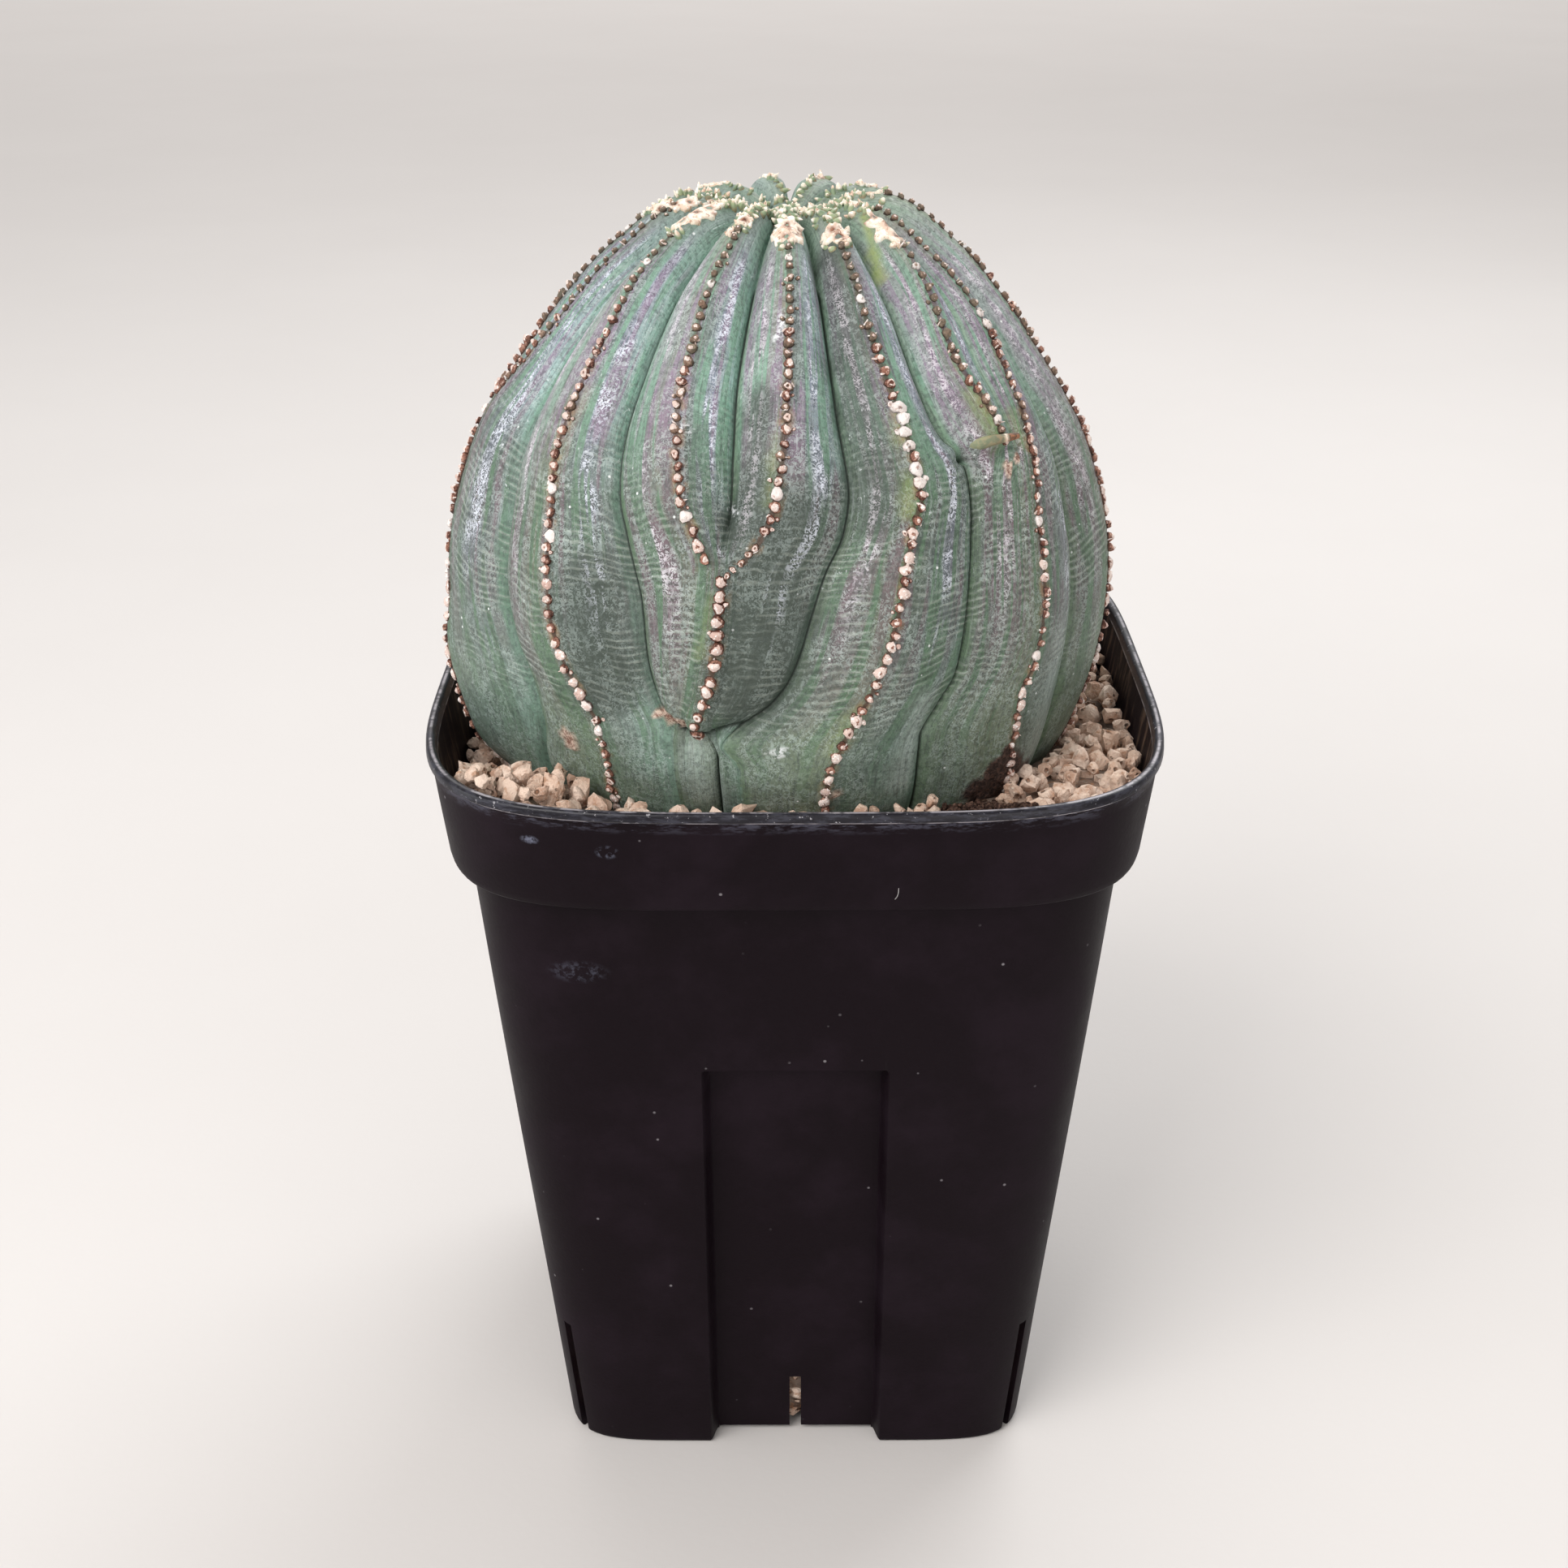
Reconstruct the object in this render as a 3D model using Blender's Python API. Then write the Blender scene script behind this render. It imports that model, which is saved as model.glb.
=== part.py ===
"""A baseball plant, grown as one ribbed globe, in a square black nursery pot of granular potting mix.

The pot stands on the floor at z = 0 with its centre on the Z axis, and its front faces -Y.
Lengths below are in millimetres and angles in degrees; the meshes are made in metres.
"""

import math
import random

import bmesh
import bpy
from mathutils import Matrix, Vector

MM = 0.001

# Pot: a thin moulded shell, nearly square at the foot and rounder at the rim.
POT_HEIGHT = 120.0
RIM_HALF = 52.5
BASE_HALF = 36.85
BODY_TOP_HALF = 47.95
COLLAR_HEIGHT = 16.0
COLLAR_FOOT_HALF = 49.8
WALL = 1.1
LIP_HEIGHT = 1.6
LIP_STANDOFF = 0.3
EDGE_ROUNDING = 0.4
COLLAR_STEP = 1.3
COLLAR_UNDERCUT = 1.0
RIM_POWER = 4.2
COLLAR_POWER = 4.8
BODY_TOP_POWER = 6.0
BASE_POWER = 8.0
PANEL_TOP = 75.0
PANEL_HALF = 13.4
PANEL_SLOPE = 1.2
PANEL_DEPTH = 3.0
LEDGE_DROP = 0.6
BASE_PLATE_Z = 1.4
BASE_PLATE_THICKNESS = 1.2
FOOT_RIM = 1.9
FOOT_CHAMFER = 0.45
FOOT_CHAMFER_HEIGHT = 0.8
FOOT_ARCH = 0.9
FOOT_ARCH_DEPTH = 4.0
CUTTER_BOTTOM = -2.0
CORNER_SLIT_WIDTH = 1.6
CORNER_SLIT_TOP = 23.0
CORNER_SLIT_REACH = (38.0, 56.0)
MIDDLE_SLIT_WIDTH = 1.8
MIDDLE_SLIT_TOP = 11.7
MIDDLE_SLIT_REACH = (27.0, 40.0)
CORNER_STEPS = 4

# Clear distance kept between neighbouring pieces.
GAP = 0.3

# Potting mix: it follows the inside of the pot and rises towards the front.
SOIL_LEVEL = 110.0
SOIL_FRONT_RISE = 6.0
SOIL_RISE_START = 12.0
SOIL_RISE_LENGTH = 32.0
HOLE_CLEARANCE = 0.7
HOLE_WALL_SHARES = (0.3, 0.62, 0.85, 1.0)
HOLE_TURN_Z = 103.3
GRANULE_LARGEST = 3.0
GRANULE_SMALLEST = 1.3
GRANULE_CUBE = 1.1
GRANULE_SPACING = 0.80
GRANULE_TRIES = 5200
GRANULE_SEED = 8

# Plant: a globe described from a centre by its radius at each polar angle from the crown, a
# little broader from side to side than from front to back.
PLANT_X = -2.2
PLANT_Y = -1.8
PLANT_CENTRE_Z = 135.0
PLANT_BREADTH = 1.03
CROWN_LEAN = 1.3
CROWN_HEIGHT = 55.0
ROOT_TOP_Z = 105.0
ROOT_END_Z = 76.0
ROOT_TOP_RADIUS = 8.0
ROOT_END_RADIUS = 3.0
CREST_RADIUS = [
    (0, 50.5), (5, 52.3), (10, 55.0), (16, 56.0), (24, 54.6), (36, 51.4), (48, 49.0),
    (60, 47.6), (72, 46.8), (84, 46.7), (96, 46.4), (108, 46.7), (120, 47.3), (128, 46.8),
    (136, 44.5), (145, 40.3), (155, 36.4), (168, 33.7), (180, 33.0),
]
FURROW_DEPTH = [
    (0, 0.5), (5, 2.0), (10, 4.2), (18, 4.8), (30, 4.2), (50, 3.6), (75, 3.2),
    (100, 2.8), (118, 2.2), (132, 0.8), (150, 0.0), (180, 0.0),
]
FACE_ROUNDNESS = 2.4
CREST_PEAK = 0.07
FACE_STEPS = (0.0, 0.26, 0.6)

CREST = [(0, 1.0)]
FURROW = [(0, 0.0)]
FORKED_CREST = [(0, 1.0), (56, 1.0), (66, 0.93)]
MERGING_CREST = [(0, 1.0), (66, 1.0), (73, 0.9), (94, 0.85), (99, 0.15), (104, 0.35), (130, 0.4)]
CLOSING_FURROW = [(0, 0.0), (97, 0.0), (102, 0.5), (106, 0.62)]

# The lines down the body, in order round it: name, azimuth from the front (towards +X) at each
# polar angle, and how high the line stands, from 0 on a furrow's bottom to 1 on a rib's crest.
RIB_LINES = [
    ("furrow_jk", [(0, -184), (40, -186), (80, -181), (130, -180)], FURROW),
    ("rib_k", [(0, -171), (40, -172), (80, -163), (130, -160)], CREST),
    ("furrow_kl", [(0, -157), (40, -156), (80, -143), (130, -140)], FURROW),
    ("rib_l", [(0, -143), (40, -138), (80, -124), (130, -119)], CREST),
    ("furrow_la", [(0, -129), (30, -124), (50, -116), (70, -106), (100, -98), (130, -97)], FURROW),
    ("rib_a_back", [(0, -116), (30, -110), (45, -102), (56, -94.5), (64, -91.5), (80, -88.5),
                    (90, -82.5), (110, -77), (130, -76)], FORKED_CREST),
    ("rib_a", [(0, -101), (30, -98), (45, -94), (56, -91), (64, -88.5), (75, -86.5), (82, -84.5),
               (90, -79.5), (100, -77.5), (111, -73.5), (130, -72)],
     [(0, 0.25), (35, 0.4), (50, 0.7), (58, 1.0)]),
    ("rib_a_front", [(0, -88), (30, -86), (45, -86.5), (56, -87.5), (64, -85.5), (80, -82.5),
                     (90, -76.5), (110, -70), (130, -68)], FORKED_CREST),
    ("furrow_ab", [(0, -77), (30, -75), (38, -72), (52, -67), (68, -64), (80, -61), (91, -57),
                   (97, -53), (105, -51), (120, -53), (130, -54)], FURROW),
    ("rib_b", [(0, -70), (10, -67), (18, -63), (25, -58), (33, -54), (42, -51), (53, -49),
               (63, -46), (73, -44), (82, -41), (91, -37), (99, -32), (105, -31), (130, -32)], CREST),
    ("furrow_bc", [(0, -52), (10, -48), (18, -43), (25, -40), (37, -38), (52, -35), (60, -33),
                   (66, -30), (77, -25), (89, -23), (95, -20.5), (99, -17.5), (130, -18)],
     CLOSING_FURROW),
    ("rib_c", [(0, -30), (12, -28), (21, -25), (34, -23), (47, -22), (55, -19.5), (61, -17.5),
               (65, -15), (70, -12.5), (80, -13.5), (90, -15.5), (97, -15.5), (130, -15)],
     MERGING_CREST),
    ("rib_cd", [(0, -14), (21, -12), (37, -11), (51, -10), (61, -9.3), (70, -9.5), (80, -10.3),
                (90, -12), (98, -13.6), (104, -12), (130, -12)],
     [(0, 0.0), (58, 0.05), (66, 0.5), (71, 1.0), (96, 1.0), (99, 0.3), (101, 0.0)]),
    ("rib_d", [(0, 0), (12, 0.5), (29, 1.5), (47, 1), (54, 0), (61, -1.2), (66, -4), (70, -6.5),
               (80, -7.5), (90, -9.5), (97, -11.5), (104, -9), (130, -9)], MERGING_CREST),
    ("furrow_de", [(0, 14), (14, 14.5), (30, 13), (45, 13), (57, 14), (64, 12), (71, 8), (84, 4),
                   (89, 2), (93, -1), (97, -6), (100, -9.2), (104, -6.5), (130, -6)],
     CLOSING_FURROW),
    ("rib_e", [(0, 30), (15, 28), (26, 23.5), (36, 23), (47, 25), (54, 26), (60, 26), (65, 24),
               (71, 22), (78, 20), (85, 17), (90, 15.5), (94, 13), (101, 10), (106, 8.5),
               (130, 8)], CREST),
    ("furrow_eg", [(0, 46), (14, 43), (23, 37.5), (31, 35), (47, 35), (53, 38), (57, 40.5),
                   (62, 40), (69, 38), (81, 35), (92, 33), (97, 30), (103, 26.5), (119, 28),
                   (130, 28)], FURROW),
    ("rib_f", [(0, 60), (16, 57.5), (21, 55.5), (26, 52), (33, 48), (37, 46), (44, 46), (48, 48),
               (53, 49), (56, 48.5), (60, 45), (69, 43), (90, 39), (103, 33), (130, 34)],
     [(0, 1.0), (54.5, 1.0), (57.5, 0.55), (70, 0.5)]),
    ("furrow_fg", [(0, 67), (16, 66), (30, 59), (44, 54), (52, 53), (57, 52.5), (62, 51),
                   (69, 48.5), (90, 45), (103, 40), (130, 41)],
     [(0, 0.3), (16, 0.45), (30, 0.62), (52, 0.7), (57.5, 0.85)]),
    ("rib_g", [(0, 74), (16, 73), (24, 69), (32, 68), (36, 66), (42, 62), (50, 59.5), (56, 57.5),
               (62, 56), (69, 53.5), (78, 52), (87, 51), (94, 49), (98, 46.5), (108, 47),
               (130, 50)], CREST),
    ("furrow_gh", [(0, 90), (16, 89), (32, 84), (50, 76), (69, 71), (90, 66), (110, 64),
                   (130, 64)], FURROW),
    ("rib_h", [(0, 105), (21, 104), (32, 97), (44, 94), (55, 90), (65, 88), (76, 86), (82, 84),
               (88, 80.5), (94, 79), (110, 78), (130, 78)], CREST),
    ("furrow_hi", [(0, 119), (32, 113), (60, 107), (90, 99), (130, 98)], FURROW),
    ("rib_i", [(0, 133), (40, 128), (80, 121), (130, 119)], CREST),
    ("furrow_ij", [(0, 147), (40, 145), (80, 141), (130, 139)], FURROW),
    ("rib_j", [(0, 161), (40, 160), (80, 160), (130, 159)], CREST),
]
BODY_ROWS = [4, 8, 12, 16, 20, 25, 30, 35.5, 41, 46.5, 51, 54.5, 57.5, 62, 66.5, 71, 76, 81.5, 87,
             92, 96, 98.5, 101, 106, 112, 118, 125, 132, 141, 155]

# Tubercles: a chain of knobs down each crest, from the first polar angle to the last.
CHAINS = [
    ("rib_k", 14, 112), ("rib_l", 14, 112), ("rib_a_back", 14, 57), ("rib_a_front", 14, 54),
    ("rib_a", 59, 112), ("rib_b", 14, 112), ("rib_c", 14, 69), ("rib_d", 14, 66),
    ("rib_cd", 71, 97), ("rib_e", 14, 112), ("rib_f", 14, 54), ("rib_g", 14, 112),
    ("rib_h", 14, 112), ("rib_i", 14, 112), ("rib_j", 14, 112),
]
TUBERCLE_SPACING = 4.4
TUBERCLE_RADIUS = 0.95
TUBERCLE_HEIGHT = 1.15
TUBERCLE_TIP = 0.35
TUBERCLE_ROOT = 0.9
TUBERCLE_SEED = 11
CROWN_BRACTS = 14
CROWN_BRACT_RADIUS = 1.0
CROWN_BRACT_ROOT = 2.6
GOLDEN_ANGLE = 137.5
GOLDEN_SHARE = 0.618
HORN_POLAR = 55.0
HORN_AZIMUTH = 46.5
HORN_REACH = 6.0
HORN_LENGTH = 6.0
HORN_RADIUS = 1.2
NOSE_POLAR = 97.8
NOSE_AZIMUTH = -13.6
NOSE_RADIUS = 1.5
NOSE_LEAN = 0.9


# ---------------------------------------------------------------- shared helpers

def clear_scene():
    for item in list(bpy.data.objects):
        bpy.data.objects.remove(item, do_unlink=True)


def new_collection(name):
    collection = bpy.data.collections.new(name)
    bpy.context.scene.collection.children.link(collection)
    return collection


def make_material(name, colour, roughness, metallic=0.0):
    material = bpy.data.materials.new(name)
    material.use_nodes = True
    shader = material.node_tree.nodes["Principled BSDF"]
    shader.inputs["Base Color"].default_value = (*colour, 1.0)
    shader.inputs["Roughness"].default_value = roughness
    shader.inputs["Metallic"].default_value = metallic
    return material


def track_value(track, position):
    """Read a smooth curve through (position, value) points, level beyond its ends."""
    if position <= track[0][0]:
        return float(track[0][1])
    if position >= track[-1][0]:
        return float(track[-1][1])
    last = len(track) - 1
    index = max(i for i in range(last) if track[i][0] <= position)
    x0, y0 = track[index]
    x1, y1 = track[index + 1]
    rise = (y1 - y0) / (x1 - x0)
    before = rise if index == 0 else (y0 - track[index - 1][1]) / (x0 - track[index - 1][0])
    after = rise if index + 1 == last else (track[index + 2][1] - y1) / (track[index + 2][0] - x1)
    start = 0.0 if before * rise <= 0.0 else 2.0 * before * rise / (before + rise)
    end = 0.0 if after * rise <= 0.0 else 2.0 * after * rise / (after + rise)
    if index == 0:
        start = rise
    if index + 1 == last:
        end = rise
    span = x1 - x0
    t = (position - x0) / span
    return ((2 * t ** 3 - 3 * t ** 2 + 1) * y0 + (t ** 3 - 2 * t ** 2 + t) * span * start
            + (3 * t ** 2 - 2 * t ** 3) * y1 + (t ** 3 - t ** 2) * span * end)


def smooth_step(t):
    t = min(1.0, max(0.0, t))
    return t * t * (3.0 - 2.0 * t)


def add_object(name, mesh, collection, material=None):
    item = bpy.data.objects.new(name, mesh)
    collection.objects.link(item)
    if material:
        mesh.materials.append(material)
    return item


def loft_rings(bm, rings):
    """Skin a stack of rings, each a list of points in millimetres, and close both ends."""
    rows = [[bm.verts.new(Vector(point) * MM) for point in ring] for ring in rings]
    count = len(rows[0])
    for lower, upper in zip(rows, rows[1:]):
        for i in range(count):
            j = (i + 1) % count
            bm.faces.new((lower[i], lower[j], upper[j], upper[i]))
    bm.faces.new(tuple(reversed(rows[0])))
    bm.faces.new(tuple(rows[-1]))


def finish_mesh(bm, name, smooth_angle):
    bmesh.ops.triangulate(bm, faces=[face for face in bm.faces if len(face.verts) > 4])
    bmesh.ops.recalc_face_normals(bm, faces=bm.faces)
    mesh = bpy.data.meshes.new(name)
    bm.to_mesh(mesh)
    bm.free()
    mesh.shade_smooth()
    mesh.set_sharp_from_angle(angle=math.radians(smooth_angle))
    return mesh


def fuse(body, repeats):
    """Join a collection of closed solids to a body and remove them."""
    union = body.modifiers.new("fuse_repeats", "BOOLEAN")
    union.operation = "UNION"
    union.operand_type = "COLLECTION"
    union.collection = repeats
    bpy.context.view_layer.update()
    depsgraph = bpy.context.evaluated_depsgraph_get()
    joined = bpy.data.meshes.new_from_object(body.evaluated_get(depsgraph))
    joined.name = body.name
    body.modifiers.clear()
    body.data = joined
    for item in list(repeats.objects):
        bpy.data.objects.remove(item, do_unlink=True)
    bpy.data.collections.remove(repeats)


# ---------------------------------------------------------------- rounded-square sections

def square_reach(angle, half, power):
    """Distance from the centre of a rounded square to its edge at an angle, in radians."""
    return half / (abs(math.cos(angle)) ** power + abs(math.sin(angle)) ** power) ** (1.0 / power)


def face_depth(half, power, across):
    return half * (1.0 - (across / half) ** power) ** (1.0 / power)


def square_ring(half, power, recess, panel_half):
    """Points round a rounded square whose sides are set back across their middle panels."""
    inner = panel_half - PANEL_SLOPE
    side = [(face_depth(half, power, across) - recess, across) for across in (0.0, inner)]
    side.append((face_depth(half, power, panel_half), panel_half))
    start = math.atan2(panel_half, side[-1][0])
    for step in range(1, CORNER_STEPS + 1):
        angle = start + (math.pi / 4.0 - start) * step / CORNER_STEPS
        reach = square_reach(angle, half, power)
        side.append((reach * math.cos(angle), reach * math.sin(angle)))
    whole = [(depth, -across) for depth, across in reversed(side[1:])] + side[:-1]
    ring = []
    for quarter in range(4):
        c = round(math.cos(quarter * math.pi / 2.0))
        s = round(math.sin(quarter * math.pi / 2.0))
        ring += [(depth * c - across * s, depth * s + across * c) for depth, across in whole]
    return ring


def body_half(z):
    return BASE_HALF + (BODY_TOP_HALF - BASE_HALF) * z / POT_HEIGHT


def body_power(z):
    return BASE_POWER + (BODY_TOP_POWER - BASE_POWER) * z / POT_HEIGHT


def collar_half(z):
    share = (z - POT_HEIGHT + COLLAR_HEIGHT) / COLLAR_HEIGHT
    return COLLAR_FOOT_HALF + (RIM_HALF - LIP_STANDOFF - COLLAR_FOOT_HALF) * share


def body_section(z, inset, recess):
    half = body_half(z) - inset
    return [(x, y, z) for x, y in square_ring(half, body_power(z), recess, PANEL_HALF + inset)]


def collar_section(z, half, power):
    return [(x, y, z) for x, y in square_ring(half, power, 0.0, PANEL_HALF + WALL)]


# ---------------------------------------------------------------- pot

def pot_sections():
    foot = POT_HEIGHT - COLLAR_HEIGHT
    lip = POT_HEIGHT - LIP_HEIGHT
    floor_top = BASE_PLATE_Z + BASE_PLATE_THICKNESS
    outside = [
        body_section(BASE_PLATE_Z, FOOT_RIM + 0.1, PANEL_DEPTH),
        body_section(0.0, FOOT_RIM, PANEL_DEPTH),
        body_section(0.0, FOOT_CHAMFER, PANEL_DEPTH),
        body_section(FOOT_CHAMFER_HEIGHT, 0.0, PANEL_DEPTH),
        body_section(PANEL_TOP - LEDGE_DROP, 0.0, PANEL_DEPTH),
        body_section(PANEL_TOP, 0.0, 0.0),
        body_section(foot, 0.0, 0.0),
        collar_section(foot + 0.25, COLLAR_FOOT_HALF - COLLAR_UNDERCUT, COLLAR_POWER),
        collar_section(foot + COLLAR_STEP, COLLAR_FOOT_HALF, COLLAR_POWER),
        collar_section(lip, collar_half(lip), RIM_POWER),
        collar_section(lip + LIP_STANDOFF, RIM_HALF, RIM_POWER),
        collar_section(POT_HEIGHT - EDGE_ROUNDING, RIM_HALF, RIM_POWER),
        collar_section(POT_HEIGHT, RIM_HALF - EDGE_ROUNDING, RIM_POWER),
    ]
    inside = [
        collar_section(POT_HEIGHT, RIM_HALF - WALL, RIM_POWER),
        collar_section(POT_HEIGHT - EDGE_ROUNDING, RIM_HALF - WALL - EDGE_ROUNDING, RIM_POWER),
        collar_section(foot + COLLAR_STEP + LEDGE_DROP, COLLAR_FOOT_HALF - WALL, COLLAR_POWER),
        body_section(foot + COLLAR_STEP - EDGE_ROUNDING, WALL, 0.0),
        body_section(PANEL_TOP + WALL, WALL, 0.0),
        body_section(PANEL_TOP + WALL - LEDGE_DROP, WALL, PANEL_DEPTH),
        body_section(floor_top, WALL, PANEL_DEPTH),
    ]
    return outside + inside


def box_cutter(name, collection, width, reach, top, turn):
    """A box from below the floor to a height, running outwards at a turn about the Z axis."""
    bm = bmesh.new()
    bmesh.ops.create_cube(bm, size=1.0)
    size = Vector((reach[1] - reach[0], width, top - CUTTER_BOTTOM)) * MM
    bmesh.ops.scale(bm, verts=bm.verts, vec=size)
    centre = Vector(((reach[0] + reach[1]) / 2.0, 0.0, (top + CUTTER_BOTTOM) / 2.0)) * MM
    bmesh.ops.translate(bm, verts=bm.verts, vec=centre)
    bmesh.ops.rotate(bm, verts=bm.verts, matrix=Matrix.Rotation(math.radians(turn), 3, "Z"))
    mesh = bpy.data.meshes.new(name)
    bm.to_mesh(mesh)
    bm.free()
    cutter = add_object(name, mesh, collection)
    cutter.hide_render = True
    cutter.display_type = "WIRE"


def build_pot(parts, cutters, material):
    bm = bmesh.new()
    loft_rings(bm, pot_sections())
    pot = add_object("pot", finish_mesh(bm, "pot", 35), parts, material)
    for quarter in range(4):
        box_cutter(f"corner_slit_{quarter}", cutters, CORNER_SLIT_WIDTH, CORNER_SLIT_REACH,
                   CORNER_SLIT_TOP, 45 + 90 * quarter)
        box_cutter(f"middle_slit_{quarter}", cutters, MIDDLE_SLIT_WIDTH, MIDDLE_SLIT_REACH,
                   MIDDLE_SLIT_TOP, 90 * quarter)
        box_cutter(f"foot_arch_{quarter}", cutters, 2.0 * (PANEL_HALF - PANEL_SLOPE),
                   (BASE_HALF - PANEL_DEPTH - FOOT_ARCH_DEPTH, BASE_HALF + FOOT_ARCH_DEPTH),
                   FOOT_ARCH, 90 * quarter)
    cut = pot.modifiers.new("slits_and_arches", "BOOLEAN")
    cut.operation = "DIFFERENCE"
    cut.operand_type = "COLLECTION"
    cut.collection = cutters
    return pot


# ---------------------------------------------------------------- plant form

def crest_radius(polar):
    return track_value(CREST_RADIUS, polar)


def plant_axis(z):
    """The body's centre line leans a little to the side above its widest height."""
    rise = max(0.0, (z - PLANT_CENTRE_Z) / CROWN_HEIGHT)
    return PLANT_X + CROWN_LEAN * rise * rise, PLANT_Y


def plant_point(polar, azimuth, radius):
    tilt = math.radians(polar)
    turn = math.radians(azimuth)
    z = PLANT_CENTRE_Z + radius * math.cos(tilt)
    axis_x, axis_y = plant_axis(z)
    reach = radius * math.sin(tilt)
    across = PLANT_BREADTH * reach * math.sin(turn)
    return Vector((axis_x + across, axis_y - reach * math.cos(turn), z))


def face_profile(t):
    """Height across a rib's face, from 0 at its furrow to 1 at its crest."""
    swell = 1.0 - (1.0 - t) ** FACE_ROUNDNESS
    return (1.0 - CREST_PEAK) * swell + CREST_PEAK * t ** 4


def line_states(polar):
    """Azimuth and height of every rib line at a polar angle, closed by the first line again."""
    states = [(track_value(track, polar), track_value(level, polar), name)
              for name, track, level in RIB_LINES]
    first = states[0]
    return states + [(first[0] + 360.0, first[1], first[2])]


def body_row(polar):
    """One row of surface points, with columns that stay on the crests and furrows."""
    states = line_states(polar)
    crest = crest_radius(polar)
    depth = track_value(FURROW_DEPTH, polar)
    row = []
    for (azimuth0, level0, name0), (azimuth1, level1, _) in zip(states, states[1:]):
        shares = FACE_STEPS
        if not name0.startswith("furrow"):
            shares = [0.0] + [1.0 - share for share in FACE_STEPS[:0:-1]]
        low, high = sorted((level0, level1))
        for share in shares:
            from_low = share if level0 <= level1 else 1.0 - share
            level = low + (high - low) * face_profile(from_low)
            azimuth = azimuth0 + (azimuth1 - azimuth0) * share
            row.append(plant_point(polar, azimuth, crest - depth * (1.0 - level)))
    return row


def line_azimuth(name, polar):
    return next(track_value(track, polar) for line, track, _ in RIB_LINES if line == name)


def knob_matrix(polar, azimuth, lean=0.0):
    """A frame on the crest surface whose Z points out of the body."""
    here = plant_point(polar, azimuth, crest_radius(polar))
    ahead = plant_point(polar + 1.0, azimuth, crest_radius(polar + 1.0))
    aside = plant_point(polar, azimuth + 1.0, crest_radius(polar))
    outward = (ahead - here).cross(aside - here).normalized()
    down = (ahead - here).normalized()
    outward = (outward + lean * down).normalized()
    side = down.cross(outward).normalized()
    frame = Matrix((side, outward.cross(side), outward)).transposed().to_4x4()
    frame.translation = here * MM
    return frame


def add_cone(name, collection, frame, bottom, top, root, height, sides, spin=0.0):
    bm = bmesh.new()
    bmesh.ops.create_cone(bm, cap_ends=True, segments=sides, radius1=bottom * MM,
                          radius2=top * MM, depth=(root + height) * MM)
    bmesh.ops.rotate(bm, verts=bm.verts, matrix=Matrix.Rotation(spin, 3, "Z"))
    bmesh.ops.translate(bm, verts=bm.verts, vec=Vector((0.0, 0.0, (height - root) / 2.0 * MM)))
    bm.transform(frame)
    mesh = bpy.data.meshes.new(name)
    bm.to_mesh(mesh)
    bm.free()
    return add_object(name, mesh, collection)


def chain_positions(name, first, last, spacing):
    """Polar angles down a crest, a fixed distance apart along the body."""
    polar = first
    positions = []
    while polar <= last:
        positions.append(polar)
        polar += math.degrees(spacing / crest_radius(polar))
    return positions


def add_tubercles(knobs):
    chance = random.Random(TUBERCLE_SEED)
    count = 0
    for name, first, last in CHAINS:
        for polar in chain_positions(name, first, last, TUBERCLE_SPACING):
            size = chance.uniform(0.85, 1.15)
            azimuth = line_azimuth(name, polar) + chance.uniform(-0.3, 0.3)
            add_cone(f"knob_{count}", knobs, knob_matrix(polar, azimuth), TUBERCLE_RADIUS * size,
                     TUBERCLE_TIP * size, TUBERCLE_ROOT, TUBERCLE_HEIGHT * size, 4,
                     chance.uniform(0.0, 1.5))
            count += 1


def add_crown_bracts(knobs):
    chance = random.Random(TUBERCLE_SEED + 1)
    for index in range(CROWN_BRACTS):
        polar = 3.2 + 6.0 * ((index * GOLDEN_SHARE) % 1.0)
        frame = knob_matrix(polar, index * GOLDEN_ANGLE)
        add_cone(f"bract_{index}", knobs, frame, CROWN_BRACT_RADIUS, 0.25, CROWN_BRACT_ROOT,
                 chance.uniform(0.9, 1.5), 4, chance.uniform(0.0, 1.5))


def add_rib_ends(knobs):
    """The horn where one rib stops beside its neighbour, and the blunt nose of another."""
    crest = crest_radius(HORN_POLAR)
    start = plant_point(HORN_POLAR, HORN_AZIMUTH, crest)
    tip = plant_point(HORN_POLAR - 0.5, HORN_AZIMUTH + HORN_REACH, crest + 0.9)
    along = (tip - start).normalized()
    side = along.orthogonal().normalized()
    root = knob_matrix(HORN_POLAR, HORN_AZIMUTH)
    frame = Matrix((side, along.cross(side), along)).transposed().to_4x4()
    frame.translation = root.translation - root.to_3x3() @ Vector((0.0, 0.0, GAP * MM))
    add_cone("horn", knobs, frame, HORN_RADIUS, 0.5, 1.0, HORN_LENGTH, 6)
    nose = knob_matrix(NOSE_POLAR, NOSE_AZIMUTH, lean=NOSE_LEAN)
    add_cone("nose", knobs, nose, NOSE_RADIUS, 0.6, 1.6, 1.3, 6)


def add_taproot(knobs):
    frame = Matrix.Translation(Vector((PLANT_X, PLANT_Y, ROOT_TOP_Z)) * MM) @ Matrix.Rotation(
        math.pi, 4, "X")
    add_cone("taproot", knobs, frame, ROOT_TOP_RADIUS, ROOT_END_RADIUS, 0.0,
             ROOT_TOP_Z - ROOT_END_Z, 12)


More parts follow.
